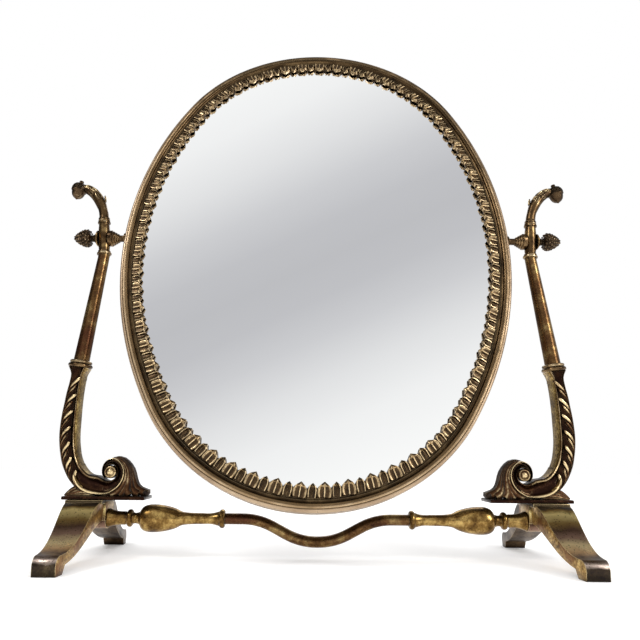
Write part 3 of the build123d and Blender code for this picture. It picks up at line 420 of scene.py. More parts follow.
def agedMetal(name, **changes):
    finish = {**usualFinish, **changes}
    material, tree, shader = newMaterial(name)
    spot = addNode(tree, "ShaderNodeTexCoord").outputs["Object"]
    patches = addNoise(tree, spot, finish["patch"], 5.0, 0.6).outputs["Fac"]
    grains = addNoise(tree, spot, finish["grain"], 4.0, 0.72).outputs["Fac"]
    mixed = {0: finish["speck"], 2: patches, 3: grains}
    tone = addNode(tree, "ShaderNodeMix", mixed, data_type="FLOAT").outputs[0]
    shown = tone
    if finish["rubbed"]:
        # the crests are bright and the beds dark, from the mark on each point; on the rim the mark also holds painted
        # light and shade
        rub = addNode(tree, "ShaderNodeAttribute", attribute_name="rub").outputs["Fac"]
        base = reckon(tree, "MULTIPLY_ADD", tone, *ageing["rubBase"])
        shown = reckon(tree, "MULTIPLY_ADD", rub, ageing["rubReach"], base)
    tones = (finish["dark"], finish["mid"], finish["bright"])
    colour = addRamp(tree, shown, list(zip(ageing["tones"], tones)))
    if "levels" in finish:
        # the tone changes up the leg in bands: the foot's own tones, with painted highlights and painted shade
        upright = addNode(tree, "ShaderNodeSeparateXYZ", {0: spot}).outputs["Z"]
        level = ease(tree, upright, 0.0, finish["legTop"] * mm, curve="LINEAR")
        bands = [(height / finish["legTop"], levelToneAndLight) for height, levelToneAndLight in finish["levels"]]
        bandToneAndLight = addRamp(tree, reckon(tree, "MULTIPLY_ADD", patches, ageing["wander"], level), bands)
        colour = blend(tree, finish["banding"], colour, bandToneAndLight)
    if "bloom" in finish:
        # red or mauve bloom in broad, soft patches
        cloud = addNoise(tree, spot, finish["patch"] * 0.6, 2.0).outputs["Fac"]
        bloomed = ease(tree, cloud, *ageing["bloom"], most=ageing["bloomMost"])
        colour = blend(tree, bloomed, colour, (*finish["bloom"], 1))

    # small dark pits
    pits = addNode(tree, "ShaderNodeTexVoronoi", {"Vector": spot, "Scale": finish["grain"] * 0.8})
    pitted = ease(tree, pits.outputs["Distance"], *ageing["pits"], most=finish["pits"])
    colour = blend(tree, pitted, colour, (*finish["dark"], 1))

    # worn edges, where a rounded normal leaves the true one, and darkening in the hollows, where the surface is
    # closed in
    rounded = addNode(tree, "ShaderNodeBevel", {"Radius": finish["wornWidth"] * mm}, samples=6).outputs[0]
    agree = dot(tree, rounded, addNode(tree, "ShaderNodeNewGeometry").outputs["Normal"])
    worn = ease(tree, agree, *ageing["worn"], most=finish["worn"])
    hollow = addNode(tree, "ShaderNodeAmbientOcclusion", {"Distance": finish["hollow"] * mm}, samples=6)
    darkenedShare = ease(tree, hollow.outputs["AO"], finish["clean"], ageing["grimeFull"], most=finish["grime"])
    wornHere = reckon(tree, "MULTIPLY", worn, reckon(tree, "SUBTRACT", 1.0, darkenedShare))
    colour = blend(tree, wornHere, colour, (*finish["edge"], 1))
    colour = blend(tree, darkenedShare, colour, ageing["grime"])

    rough = (finish["rough"] + ageing["duller"], finish["rough"] - ageing["glossier"])
    setInputs(tree, shader, {
        "Base Color": colour, "Metallic": finish["metal"],
        "Roughness": ease(tree, tone, *ageing["gloss"], *rough, "LINEAR"),
        "Normal": addRelief(tree, grains, finish["relief"], ageing["reliefDepth"]),
    })
    return material


rimUsual = {
    "grain": 600, "speck": 0.04, "worn": 0.0, "pits": 0.0, "relief": 0.0, "hollow": 3, "clean": 0.7, "rubbed": True,
}
turnedUsual = {
    "grain": 650, "speck": 0.12, "worn": 0.4, "pits": 0.1, "hollow": 2.5, "clean": 0.95, "grime": 0.97,
    "wornWidth": 0.4, "relief": 0.05,
}
frameBronze = agedMetal(
    "frameBronze", dark=(0.040, 0.024, 0.010), mid=(0.125, 0.076, 0.034), bright=(0.26, 0.165, 0.080), patch=30,
    grain=600, speck=0.06, rough=0.24, worn=0.3, pits=0.05, relief=0.012, hollow=4, clean=0.85, grime=0.8,
    rubbed=True,
)
# painted reflection: a pale, less metallic copy for the rim's outer corner
paintedEdgeReflection = agedMetal(
    "paintedEdgeReflection", dark=(0.062, 0.040, 0.018), mid=(0.34, 0.235, 0.145), bright=(0.50, 0.37, 0.24), patch=26,
    rough=0.30, grime=0.8, metal=0.55, **rimUsual,
)
# painted highlight: a bright gold copy for the rim's crest
paintedBeadHighlight = agedMetal(
    "paintedBeadHighlight", dark=(0.075, 0.048, 0.020), mid=(0.33, 0.22, 0.115), bright=(0.56, 0.41, 0.25), patch=40,
    rough=0.26, metal=0.7, **rimUsual,
)
# painted shade: a dark copy for the rim's cove and for the ring under the leaves
paintedCoveShade = agedMetal(
    "paintedCoveShade", dark=(0.014, 0.008, 0.0035), mid=(0.050, 0.029, 0.012), bright=(0.12, 0.076, 0.034), patch=34,
    grain=600, speck=0.15, rough=0.3, worn=0.2, pits=0.2, relief=0.08, clean=0.8,
)
leafBronze = agedMetal(
    "leafBronze", dark=(0.026, 0.014, 0.006), mid=(0.125, 0.074, 0.031), bright=(0.88, 0.67, 0.38), patch=260,
    grain=900, speck=0.4, rough=0.30, worn=0.3, pits=0.4, hollow=1.3, grime=0.85, edge=(0.90, 0.70, 0.42),
    wornWidth=0.25, rubbed=True, metal=0.75,
)
castBronze = agedMetal(
    "castBronze", dark=(0.015, 0.0045, 0.0022), mid=(0.085, 0.037, 0.014), bright=(0.80, 0.62, 0.34), patch=85,
    grain=650, rough=0.27, worn=0.35, pits=0.4, hollow=4, grime=0.95, edge=(0.72, 0.54, 0.28), wornWidth=0.6,
    rubbed=True,
)
# painted shade: a dark, dull, less metallic copy for the ridge faces that look towards the glass and for the toe
dullPaintedShade = agedMetal(
    "dullPaintedShade", dark=(0.010, 0.005, 0.003), mid=(0.040, 0.019, 0.009), bright=(0.16, 0.095, 0.045), patch=85,
    grain=650, rough=0.6, worn=0.2, pits=0.3, hollow=4, metal=0.5,
)
wallGold = agedMetal(
    "wallGold", dark=(0.030, 0.015, 0.004), mid=(0.22, 0.135, 0.036), bright=(0.64, 0.46, 0.17), patch=60,
    grain=420, speck=0.6, rough=0.30, worn=0.6, pits=0.9, hollow=4, clean=0.85, relief=0.5, metal=0.85,
)
armBronze = agedMetal(
    "armBronze", dark=(0.022, 0.011, 0.005), mid=(0.120, 0.070, 0.028), bright=(0.74, 0.57, 0.31), patch=80,
    grain=650, rough=0.25, worn=0.4, pits=0.4, hollow=2.5, clean=0.85, wornWidth=0.3, rubbed=True,
)
coneBronze = agedMetal(
    "coneBronze", dark=(0.016, 0.009, 0.005), mid=(0.080, 0.048, 0.023), bright=(0.60, 0.46, 0.28), patch=120,
    grain=800, speck=0.2, rough=0.28, worn=0.25, pits=0.3, hollow=2.0, clean=0.85, grime=0.95, wornWidth=0.3,
    rubbed=True,
)
# the foot's bronze; its levels hold the foot's own tones with painted highlights and painted shade in bands up the
# leg
footBronze = agedMetal(
    "footBronze", dark=(0.035, 0.020, 0.008), mid=(0.17, 0.112, 0.042), bright=(0.48, 0.35, 0.15), patch=70,
    grain=520, speck=0.35, rough=0.30, worn=0.95, pits=0.8, wornWidth=0.9, metal=0.84, edge=(0.90, 0.70, 0.36),
    levels=(
        (6, (0.005, 0.0035, 0.0045)), (12, (0.016, 0.011, 0.012)), (15.0, (0.50, 0.40, 0.35)),
        (17.6, (0.050, 0.018, 0.007)), (20.5, (0.60, 0.36, 0.16)), (24.5, (0.92, 0.72, 0.38)),
        (29, (0.34, 0.205, 0.145)), (34.5, (0.070, 0.030, 0.022)), (39.5, (0.24, 0.145, 0.040)),
        (45.5, (0.90, 0.72, 0.30)), (48.0, (0.26, 0.165, 0.045)), (49.4, (0.010, 0.006, 0.004)),
        (54, (0.030, 0.018, 0.011)),
    ),
    banding=0.86, legTop=60,
)
# painted shade: a darker copy for the back legs
footShade = agedMetal(
    "footShade", dark=(0.018, 0.010, 0.005), mid=(0.075, 0.046, 0.026), bright=(0.18, 0.12, 0.066), patch=70,
    grain=520, rough=0.38, worn=0.8, pits=0.6, metal=1.0, edge=(0.55, 0.42, 0.24),
)
footSide = agedMetal(
    "footSide", dark=(0.050, 0.026, 0.008), mid=(0.34, 0.205, 0.068), bright=(0.78, 0.56, 0.22), patch=90,
    grain=420, speck=0.55, rough=0.32, worn=0.95, pits=0.85, hollow=6, relief=0.4, metal=0.85,
    bloom=(0.17, 0.070, 0.024), edge=(0.92, 0.74, 0.40),
)
stemCopper = agedMetal(
    "stemCopper", dark=(0.030, 0.010, 0.004), mid=(0.14, 0.072, 0.024), bright=(0.44, 0.32, 0.13), patch=46,
    grain=500, rough=0.24, worn=0.7, bloom=(0.070, 0.022, 0.010), metal=0.88,
)
turnedBrass = agedMetal(
    "turnedBrass", dark=(0.030, 0.015, 0.006), mid=(0.105, 0.060, 0.024), bright=(0.36, 0.24, 0.10), patch=80,
    rough=0.21, **turnedUsual,
)
# painted highlight: a pale copy for the upper faces of the turned rings
paintedRingHighlight = agedMetal(
    "paintedRingHighlight", dark=(0.14, 0.090, 0.042), mid=(0.30, 0.215, 0.115), bright=(0.55, 0.43, 0.26), patch=120,
    grain=650, rough=0.26, worn=0.5, pits=0.3, hollow=2, metal=0.85, relief=0.1,
)
trunnionBronze = agedMetal(
    "trunnionBronze", dark=(0.018, 0.009, 0.004), mid=(0.070, 0.040, 0.017), bright=(0.22, 0.14, 0.065),
    patch=80, rough=0.24, **turnedUsual,
)
balusterBrass = agedMetal(
    "balusterBrass", dark=(0.050, 0.022, 0.006), mid=(0.22, 0.125, 0.034), bright=(0.56, 0.38, 0.13), patch=90,
    grain=520, speck=0.28, rough=0.24, worn=0.6,
)
dullSteel = agedMetal(
    "dullSteel", dark=(0.05, 0.045, 0.04), mid=(0.13, 0.12, 0.11), bright=(0.26, 0.25, 0.23), patch=120,
    grain=700, rough=0.42, worn=0.5, edge=(0.5, 0.48, 0.45),
)


def mottled(name, scale, tones, roughness, metallic):
    # a plain finish with a faint mottle
    material, tree, shader = newMaterial(name)
    spot = addNode(tree, "ShaderNodeTexCoord").outputs["Object"]
    colour = addRamp(tree, addNoise(tree, spot, scale, 3.0).outputs["Fac"], list(enumerate(tones)))
    setInputs(tree, shader, {"Base Color": colour, "Roughness": roughness, "Metallic": metallic})
    return material


def boardWood(name):
    # brown stain over a grain that runs upright
    material, tree, shader = newMaterial(name)
    spot = addNode(tree, "ShaderNodeTexCoord").outputs["Object"]
    drawn = addNode(tree, "ShaderNodeMapping", {"Vector": spot, "Scale": (130, 130, 1.6)}).outputs[0]
    figure = addNoise(tree, drawn, 2.6, 6.0, distortion=0.25).outputs["Fac"]
    pores = addNoise(tree, drawn, 22.0, 3.0).outputs
    stain = addRamp(tree, figure, ((0.3, (0.040, 0.018, 0.008)), (0.72, (0.165, 0.082, 0.035))))
    setInputs(tree, shader, {
        "Base Color": blend(tree, 0.5, stain, pores["Color"], blend_type="MULTIPLY"),
        "Roughness": 0.55, "Normal": addRelief(tree, pores["Fac"], 0.3, 0.3),
    })
    return material


silvered = mottled("silveredGlass", 6.0, ((0.965, 0.965, 0.97), (0.985, 0.985, 0.985)), 0.0, 1.0)
stainedBoard = boardWood("stainedBoard")
felt = mottled("packingFelt", 900.0, ((0.05, 0.045, 0.035), (0.14, 0.12, 0.09)), 0.95, 0.0)
print("finishes mixed")


# Oval: four tangent arcs in the plane of the tilted glass
oval = {
    "halfWidth": 191.9 * mm,
    "halfHeight": 260.5 * mm,
    "endRadius": 166.5 * mm,
    "tilt": 13.0,
    "lean": 2.15,
    "drop": 4.1 * mm,
    "play": 1.0 * mm,
    "pivot": 301.6 * mm,
}
endOffset = oval["halfHeight"] - oval["endRadius"]
sideRadius = (endOffset**2 + oval["halfWidth"] ** 2 - oval["endRadius"] ** 2) / (
    2 * (oval["halfWidth"] - oval["endRadius"])
)
sideOffset = sideRadius - oval["halfWidth"]
sideAngle = math.atan2(endOffset, sideOffset)
ovalArcs = [
    (Vector((-sideOffset, 0, 0)), sideRadius, -sideAngle, 2 * sideAngle),
    (Vector((0, endOffset, 0)), oval["endRadius"], sideAngle, math.pi - 2 * sideAngle),
    (Vector((sideOffset, 0, 0)), sideRadius, math.pi - sideAngle, 2 * sideAngle),
    (Vector((0, -endOffset, 0)), oval["endRadius"], math.pi + sideAngle, math.pi - 2 * sideAngle),
]


def axesOf(sideways, onwards, upwards):
    return Matrix((sideways, onwards, upwards)).transposed().to_4x4()


tilt, lean = math.radians(oval["tilt"]), math.radians(oval["lean"])
uphill = Vector((0, math.sin(tilt), math.cos(tilt)))
facing = Vector((0, -math.cos(tilt), math.sin(tilt)))
across = Vector((math.cos(lean), -math.sin(lean) * math.sin(tilt), -math.sin(lean) * math.cos(tilt)))
along = facing.cross(across)
ovalMiddle = Vector((-oval["play"], 0, oval["pivot"])) - uphill * oval["drop"]
ovalMatrix = Matrix.Translation(ovalMiddle) @ axesOf(across, along, facing)


def roundOval(share, inset):
    # place on the oval a share of the way round: origin, outward direction
    lengths = [sweep * (radius - inset) for _, radius, _, sweep in ovalArcs]
    distance = (share % 1.0) * sum(lengths)
    for (centre, radius, first, sweep), length in zip(ovalArcs, lengths):
        if distance <= length:
            angle = first + sweep * distance / length
            out = Vector((math.cos(angle), math.sin(angle), 0))
            return centre + out * (radius - inset), out
        distance -= length
    return roundOval(0.0, inset)


def runRound(points, sideSteps=56, endSteps=80):
    # a section, r inwards and n towards the viewer, spun about the four arc centres in turn
    centre, radius, first, _ = ovalArcs[0]
    out = Vector((math.cos(first), math.sin(first), 0))
    start = [centre + out * (radius - r * mm) + Vector((0, 0, n * mm)) for r, n in points]
    obj = drawChain(start)
    editAll()
    for number, (centre, radius, _, sweep) in enumerate(ovalArcs):
        steps = endSteps if number % 2 else sideSteps
        # spin counts its angle the other way round
        bpy.ops.mesh.spin(steps=steps, angle=-sweep, center=centre, axis=(0, 0, 1))
    doneEdit()
    obj.data.transform(ovalMatrix)
    return obj


def sweepRing(ring, stations):
    # a closed ring carried along a path in the XZ plane; each station: x, z, heading, width, depth (mm)
    x, z, heading, wide, deep = stations[0]
    turn = math.radians(heading)
    start = [
        ((x + a * wide * math.cos(turn)) * mm, d * deep * mm, (z + a * wide * math.sin(turn)) * mm)
        for a, d in ring
    ]
    obj = drawChain(start, closed=True)
    editAll()
    bpy.ops.mesh.edge_face_add()
    bpy.ops.mesh.select_mode(type="EDGE")
    for newX, newZ, newHeading, newWide, newDeep in stations[1:]:
        middle = (newX * mm, 0, newZ * mm)
        bpy.ops.mesh.extrude_edges_move(
            TRANSFORM_OT_translate={"value": ((newX - x) * mm, 0, (newZ - z) * mm)}
        )
        bpy.ops.transform.rotate(
            value=math.radians(newHeading - heading), orient_axis="Y", center_override=middle
        )
        grow, growDeep = newWide / wide, newDeep / deep
        bpy.ops.transform.resize(value=(grow, growDeep, grow), center_override=middle)
        x, z, heading, wide, deep = newX, newZ, newHeading, newWide, newDeep
    bpy.ops.mesh.edge_face_add()
    bpy.ops.mesh.select_mode(type="VERT")
    doneEdit()
    cleanUp(obj)
    return obj


def lathe(points, steps, frameOf):
    # a half section, r and height, spun about Z and then laid where it belongs
    obj = drawChain([(r * mm, 0, h * mm) for r, h in points])
    editAll()
    bpy.ops.mesh.spin(steps=steps, angle=2 * math.pi, center=(0, 0, 0), axis=(0, 0, 1))
    doneEdit()
    cleanUp(obj)
    obj.data.transform(frameOf)
    return obj


def placeBy(origin, up, side=Vector((0, 1, 0))):
    # a frame at a place in mm: Z along up, Y as near to side as it can be
    up = Vector(up).normalized()
    right = Vector(side).cross(up).normalized()
    return Matrix.Translation(Vector(origin) * mm) @ axesOf(right, up.cross(right), up)


def arcRun(centre, radius, first, last, steps):
    turns = [math.radians(first + (last - first) * i / steps) for i in range(steps + 1)]
    return [(centre[0] + radius * math.cos(turn), centre[1] + radius * math.sin(turn)) for turn in turns]


def evenRun(points, steps):
    # the same broken line, divided into even steps
    lengths = [math.dist(a, b) for a, b in zip(points, points[1:])]
    total, run = sum(lengths), []
    for i in range(steps + 1):
        left = total * i / steps
        for a, b, length in zip(points, points[1:], lengths):
            if left <= length + 1e-9:
                run.append(tuple(p + (q - p) * min(1.0, left / length) for p, q in zip(a, b)))
                break
            left -= length
    return run


# Frame moulding: pale outer corner in a painted reflection, thin groove, gold crest with a painted highlight, brown
# fall, dark cove in painted shade, lip and rebate
rimShape = {
    "back": -6.5,
    "corner": 3.72,
    "crest": (4.2, 5.35),
    "crestRadius": 1.05,
    "cove": (7.4, 4.3),
    "rub": 0.60,
    "paintedSideLight": 0.0005,
    "darkFrom": 330,
}
rimBack, rimCove = rimShape["back"], rimShape["cove"]
cornerSection = [(0.5, rimBack), (0.0, rimBack + 0.5), (0.0, rimShape["corner"]), (0.4, 4.5), (1.1, 5.1),
                 (2.0, 5.4), (2.5, 5.35)]
grooveSection = [cornerSection[-1], (2.75, 5.0), (3.15, 5.1)]
crestSection = [grooveSection[-1]] + arcRun(rimShape["crest"], rimShape["crestRadius"], 170, 10, 12)
fallSection = [crestSection[-1], (5.5, 5.15), (6.2, 5.2), (6.9, 5.0), rimCove]
coveSection = [rimCove, (7.6, 3.6), (8.3, 2.9), (9.0, 2.5), (9.7, 2.3), (10.2, 2.3), (10.2, 1.5), (14.0, 1.5),
               (14.2, 1.3), (14.2, 0.0), (10.2, 0.0), (10.2, rimBack + 0.4), (9.8, rimBack), (0.5, rimBack)]


def rimRubAndPaintedLight(point):
    # rubbed pale at the foot; painted light makes it paler on the left than on the right, and painted shade darkens
    # the top
    dark = max(0.0, point.z - rimShape["darkFrom"]) / rimShape["darkFrom"]
    return rimShape["rub"] - rimShape["paintedSideLight"] * point.x - dark


rimRuns = []
for section, finish in (
    (cornerSection, paintedEdgeReflection), (grooveSection, frameBronze), (crestSection, paintedBeadHighlight),
    (fallSection, frameBronze), (coveSection, paintedCoveShade),
):
    rimRun = runRound(section)
    markRubAndLight(rimRun, rimRubAndPaintedLight)
    dress(rimRun, finish)
    rimRuns.append(rimRun)
frameRim = joined(rimRuns)
cleanUp(frameRim)
smooth(frameRim, 50)
settle(frameRim, "frameRim", "mirror", "frame_rim")
print("frame moulding run")


# Leaf band: pointed leaves with raised rims and a midrib, and smaller darts between
band = {
    "start": 11.3,
    "pairs": 65,
    "lean": -6.0,
    "shortest": 0.76,
    "longestWay": (-0.26, -0.97),
    "growFrom": 0.45,
    "growOver": 0.43,
}
# the ring rests on the rim's lip and on the glass
bandSection = [(11.5, 1.5), (11.5, 1.8), (12.2, 2.0), (15.0, 2.2), (17.4, 2.4), (18.2, 2.3), (18.4, 2.0), (18.4, 0.5),
               (18.0, 0.4), (14.5, 0.4), (14.5, 1.5), (11.5, 1.5)]
bandRing = runRound(bandSection, 44, 64)
cleanUp(bandRing)
# the ring under the leaves is dressed in painted shade
dress(bandRing, paintedCoveShade)


leafRub = {"tip": 0.42, "tipRib": 0.75, "ridge": 0.85, "root": 0.3}


def castLeaf(leaf):
    # half a section, rib to rim, carried from root to tip and mirrored
    half, rim, rimHeight, hollow = leaf["half"], leaf["rim"], leaf["rimHeight"], leaf["hollow"]
    section = [
        (0.0, leaf["rib"]), (leaf["ribHalf"], leaf["rib"] - 0.35), (leaf["ribHalf"] + 0.35, hollow + 0.3),
        (half * 0.52, hollow), (half - rim - 0.25, hollow + 0.5), (half - rim + 0.1, rimHeight),
        (half - rim * 0.5, rimHeight - 0.1), (half - 0.1, rimHeight * 0.3), (half, 0.0),
    ]
    place, wide, tall = leaf["stations"][0]
    obj = drawChain([(place * mm, y * wide * mm, z * tall * mm) for y, z in section])
    editAll()
    for newPlace, newWide, newTall in leaf["stations"][1:]:
        bpy.ops.mesh.extrude_region_move(TRANSFORM_OT_translate={"value": ((newPlace - place) * mm, 0, 0)})
        bpy.ops.transform.resize(value=(1, newWide / wide, newTall / tall), center_override=(0, 0, 0))
        place, wide, tall = newPlace, newWide, newTall
    doneEdit()
    useModifier(obj, "MIRROR", use_axis=(False, True, False), merge_threshold=weldGap)
    cleanUp(obj)

    def rubOn(point):
        # rims and midrib bright, hollows and root dark, the tip between
        station = min(leaf["stations"], key=lambda row: abs(row[0] - point.x))
        if station[0] > leaf["ridge"] + 0.1:
            return leafRub["tip"] if abs(point.y) > 0.5 else leafRub["tipRib"]
        share = abs(point.y) / (half * station[1])
        rub = next(rub for limit, rub in leaf["rubs"] if share < limit)
        if station[0] > leaf["ridge"] - 0.1:
            rub = max(leafRub["ridge"], rub)
        return rub * (leafRub["root"] if station[0] < 0.6 else 1.0)

    markRubAndLight(obj, rubOn)
    return obj


leafShape = {
    "half": 6.8, "rib": 4.2, "ribHalf": 0.4, "hollow": 1.7, "rim": 1.9, "rimHeight": 3.2, "ridge": 9.9,
    "stations": [(0.2, 0.84, 0.40), (0.9, 0.90, 0.75), (4.0, 1.0, 0.86), (7.2, 0.98, 0.98), (8.6, 0.84, 1.12),
                 (9.9, 0.66, 1.26), (10.4, 0.58, 1.24), (13.5, 0.04, 0.42)],
    "rubs": ((0.09, 1.0), (0.3, 0.10), (0.66, 0.26), (0.78, 0.9), (0.9, 0.40), (9, 0.08)),
}
dartShape = {
    "half": 4.9, "rib": 2.6, "ribHalf": 0.35, "hollow": 1.2, "rim": 2.2, "rimHeight": 2.9, "ridge": 9.9,
    "stations": [(0.8, 0.90, 0.55), (3.5, 0.96, 0.80), (6.6, 1.0, 1.0), (8.6, 0.86, 1.22), (9.9, 0.64, 1.42),
                 (10.4, 0.56, 1.40), (12.7, 0.05, 0.5)],
    "rubs": ((0.09, 0.35), (0.3, 0.10), (0.52, 0.2), (0.68, 1.0), (0.85, 0.35), (9, 0.08)),
}
leafMould = castLeaf(leafShape)
dartMould = castLeaf(dartShape)

leafPieces = []
upright = Vector((0, 0, 1))
leafLean = Matrix.Rotation(math.radians(band["lean"]), 4, "Z")
for number in range(band["pairs"]):
    for mould, shift, height in ((leafMould, 0.0, 2.1), (dartMould, 0.5, 1.9)):
        place, out = roundOval((number + shift) / band["pairs"], band["start"] * mm)
        leaf = copyOf(mould)
        # longest at the foot of the oval
        wayX, wayY = band["longestWay"]
        low = wayX * place.x / oval["halfWidth"] + wayY * place.y / oval["halfHeight"]
        long = min(1.0, max(0.0, (low - band["growFrom"]) / band["growOver"]))
        long = band["shortest"] + (1 - band["shortest"]) * long * long * (3 - 2 * long)
        leaf.data.transform(
            ovalMatrix @ Matrix.Translation(place + Vector((0, 0, height * mm)))
            @ axesOf(-out, upright.cross(-out), upright) @ leafLean @ Matrix.Diagonal((long, 1, 1, 1))
        )
        dress(leaf, leafBronze)
        leafPieces.append(leaf)
leafBand = joined([bandRing] + leafPieces)
for mould in (leafMould, dartMould):
    bpy.data.objects.remove(mould)
smooth(leafBand, 30)
settle(leafBand, "leafBand", "mirror", "leaf_band")
print("leaf band laid")


# Turned and cast pieces that keep their solid's shape; some faces of three of them have another finish: gold flanks
# and back legs in painted shade on the feet, and rings in a painted highlight on the pivot blocks and collars
footFaces = {"top": 46, "back": 14, "sideways": 0.6, "forwards": -0.2, "inwards": -60}
pivotRings = {"low": 286.0, "slant": 0.08, "high": 319.6, "reach": 1.3, "axis": 214.4, "inside": 5.6, "under": -0.55}
collarRing = {"from": 174.6, "under": -0.55, "above": 0.9}


def footFlank(place, normal):
    return abs(normal.x) > footFaces["sideways"] and place.z < footFaces["top"]


def backLeg(place, normal):
    # painted shade on the back legs: only the faces that look in and forwards
    turned = normal.y < footFaces["forwards"] or normal.x * place.x < footFaces["inwards"]
    return place.y > footFaces["back"] and place.z < footFaces["top"] and turned


# painted highlight on the pivot block's end rings, on faces that do not look down
def pivotEnds(place, normal):
    low = abs(place.z - pivotRings["low"] - pivotRings["slant"] * normal.x)
    near = min(low, abs(place.z - pivotRings["high"])) < pivotRings["reach"]
    outside = math.hypot(abs(place.x) - pivotRings["axis"], place.y) > pivotRings["inside"]
    return near and outside and normal.z > pivotRings["under"]


# painted highlight round the top of the collar
def collarTop(place, normal):
    return place.z > collarRing["from"] and collarRing["under"] < normal.z < collarRing["above"]


otherFaces = {
    "foot": ((footSide, footFlank), (footShade, backLeg)),
    "pivotBlock": ((paintedRingHighlight, pivotEnds),),
    "collar": ((paintedRingHighlight, collarTop),),
}
for title, node, body, slotName, material, bevel in (
    ("stem", "stem", "stand", "stem_copper", stemCopper, 0.0),
    ("collar", "collar", "stand", "turned_brass", trunnionBronze, 0.15),
    ("pivotBlock", "pivot_block", "stand", "turned_brass", turnedBrass, 0.15),
    ("foot", "foot", "stand", "foot_bronze", footBronze, 0.9),
    ("baluster", "stretcher_baluster", "stand", "baluster_brass", balusterBrass, 0.15),
    ("stretcherBolt", "stretcher_bolt", "stand", "hidden_steel", dullSteel, 0.3),
    ("trunnion", "trunnion", "mirror", "turned_brass", trunnionBronze, 0.15),
    ("domedWasher", "domed_washer", "washer{}", "turned_brass", turnedBrass, 0.15),
    ("stretcherRod", "stretcher_rod", "stand", "stem_copper", stemCopper, 0.0),
    ("backBoard", "back_board", "mirror", "board_wood", stainedBoard, 0.2),
    ("backClips", "back_clips", "mirror", "turned_brass", turnedBrass, 0.3),
    ("clipScrews", "clip_screws", "mirror", "hidden_steel", dullSteel, 0.0),
):
    for hand in ("",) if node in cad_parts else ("_left", "_right"):
        piece = castFrom(node + hand, bevel * mm)
        dress(piece, material)
        settle(piece, title + hand, body.format(hand), node + hand)
        for faceFinish, chosen in otherFaces.get(title, ()):
            dressSome(piece, faceFinish, chosen)
print("turned and cast pieces set")


# Scroll consoles: a channelled band that curls inwards and up into a volute
console = {
    "depth": 8.6,
    "curlDepth": 8.9,
    "bodyRows": 52,
    "curlFrom": 33,
    "lobes": 13,
    "smallLobe": 0.72,
    "lobeOut": 6.6,
    "lobeFirst": 2,
    "lobeSpare": 16,
    "lineSteps": 240,
    "ridgeSteps": 12,
    "wallTurned": -0.45,
    "wallTo": 226,
    "curlWallFrom": 198,
    "eye": (187.7, 0, 74.3),
    "toe": (155.6, 0, 56.0),
    "plate": (154.0, 228.0, 15.0, 50.2, 53.2),
    "plateInset": 1.4,
    "plateSoft": 0.7,
}
outerMarks = [
    (235.6, 171.2), (232.6, 164.2), (233.3, 155.7), (235.2, 145.4), (236.2, 137.0), (237.4, 127.8),
    (238.1, 118.6), (238.3, 108.7), (237.5, 99.6), (235.8, 90.2), (233.1, 80.8), (228.3, 71.0), (223.9, 64.9),
    (218.9, 60.0), (213.7, 57.0), (207.2, 54.7), (200.8, 53.6), (194.5, 53.5), (189.2, 54.5), (184.0, 57.3),
    (179.4, 61.2), (176.1, 66.5), (174.7, 72.6), (175.7, 78.8), (179.3, 83.9), (185.0, 87.0), (190.3, 85.7),
    (194.1, 81.9), (195.5, 76.8), (195.0, 72.0), (192.6, 68.4),
]
innerMarks = [
    (217.7, 169.4), (220.9, 163.6), (221.9, 156.5), (222.6, 147.0), (222.9, 138.5), (223.0, 129.5),
    (222.9, 120.5), (222.8, 111.5), (222.3, 103.0), (221.0, 95.0), (219.3, 88.0), (216.4, 81.5), (213.2, 77.0),
    (209.8, 73.8), (206.2, 71.8), (202.4, 71.2), (198.3, 70.4), (194.2, 67.9), (190.1, 66.4), (186.2, 67.3),
    (183.2, 69.6), (181.6, 73.3), (182.0, 76.4), (184.0, 79.2), (186.4, 80.6), (188.4, 80.8), (190.4, 80.2),
    (191.9, 78.4), (192.6, 76.0), (192.3, 73.6), (190.9, 71.6),
]
curlMarks = [(221.0, 70.0), (219.2, 64.0), (216.0, 59.8), (211.8, 56.9), (206.6, 54.7)] + outerMarks[16:]


def softRun(points):
    # a smooth run through every mark, in three steps each
    run = []
    for i in range(len(points) - 1):
        p0, p1, p2 = points[max(0, i - 1)], points[i], points[i + 1]
        p3 = points[min(len(points) - 1, i + 2)]
        for t in (0, 1 / 3, 2 / 3):
            run.append(tuple(
                0.5 * (2 * b + (c - a) * t + (2 * a - 5 * b + 4 * c - d) * t * t + (3 * b - a - 3 * c + d) * t**3)
                for a, b, c, d in zip(p0, p1, p2, p3)
            ))
    return run + [tuple(points[-1])]


outerEdge, innerEdge, curlEdge = softRun(outerMarks), softRun(innerMarks), softRun(curlMarks)

# across the band: low bed for the lobes, sunk channel, bold inner rim; the back face is the same
bodyRing = [
    (0.0, 0.60), (0.02, 0.80), (0.06, 0.90), (0.11, 0.88), (0.16, 0.78), (0.30, 0.74), (0.46, 0.70),
    (0.56, 0.58), (0.66, 0.54), (0.74, 0.62), (0.79, 0.80), (0.84, 0.96), (0.89, 1.0), (0.94, 0.92),
    (1.0, 0.66),
]
curlRing = [
    (0.0, 0.74), (0.03, 0.92), (0.08, 1.05), (0.14, 1.07), (0.20, 1.0), (0.25, 0.82), (0.38, 0.66),
    (0.55, 0.64), (0.70, 0.72), (0.80, 0.86), (0.87, 0.94), (0.94, 0.92), (0.98, 0.84), (1.0, 0.70),
]


def unwound(heading, last):
    # the same heading, within half a turn of the last one
    return heading if last is None else heading - 360 * round((heading - last) / 360)


def bandStations(outer, inner, depth):
    rows, heading = [], None
    for a, b in zip(outer, inner):
        heading = unwound(math.degrees(math.atan2(b[1] - a[1], b[0] - a[0])), heading)
        rows.append([a[0], a[1], heading, math.dist(a, b), depth])
    return rows


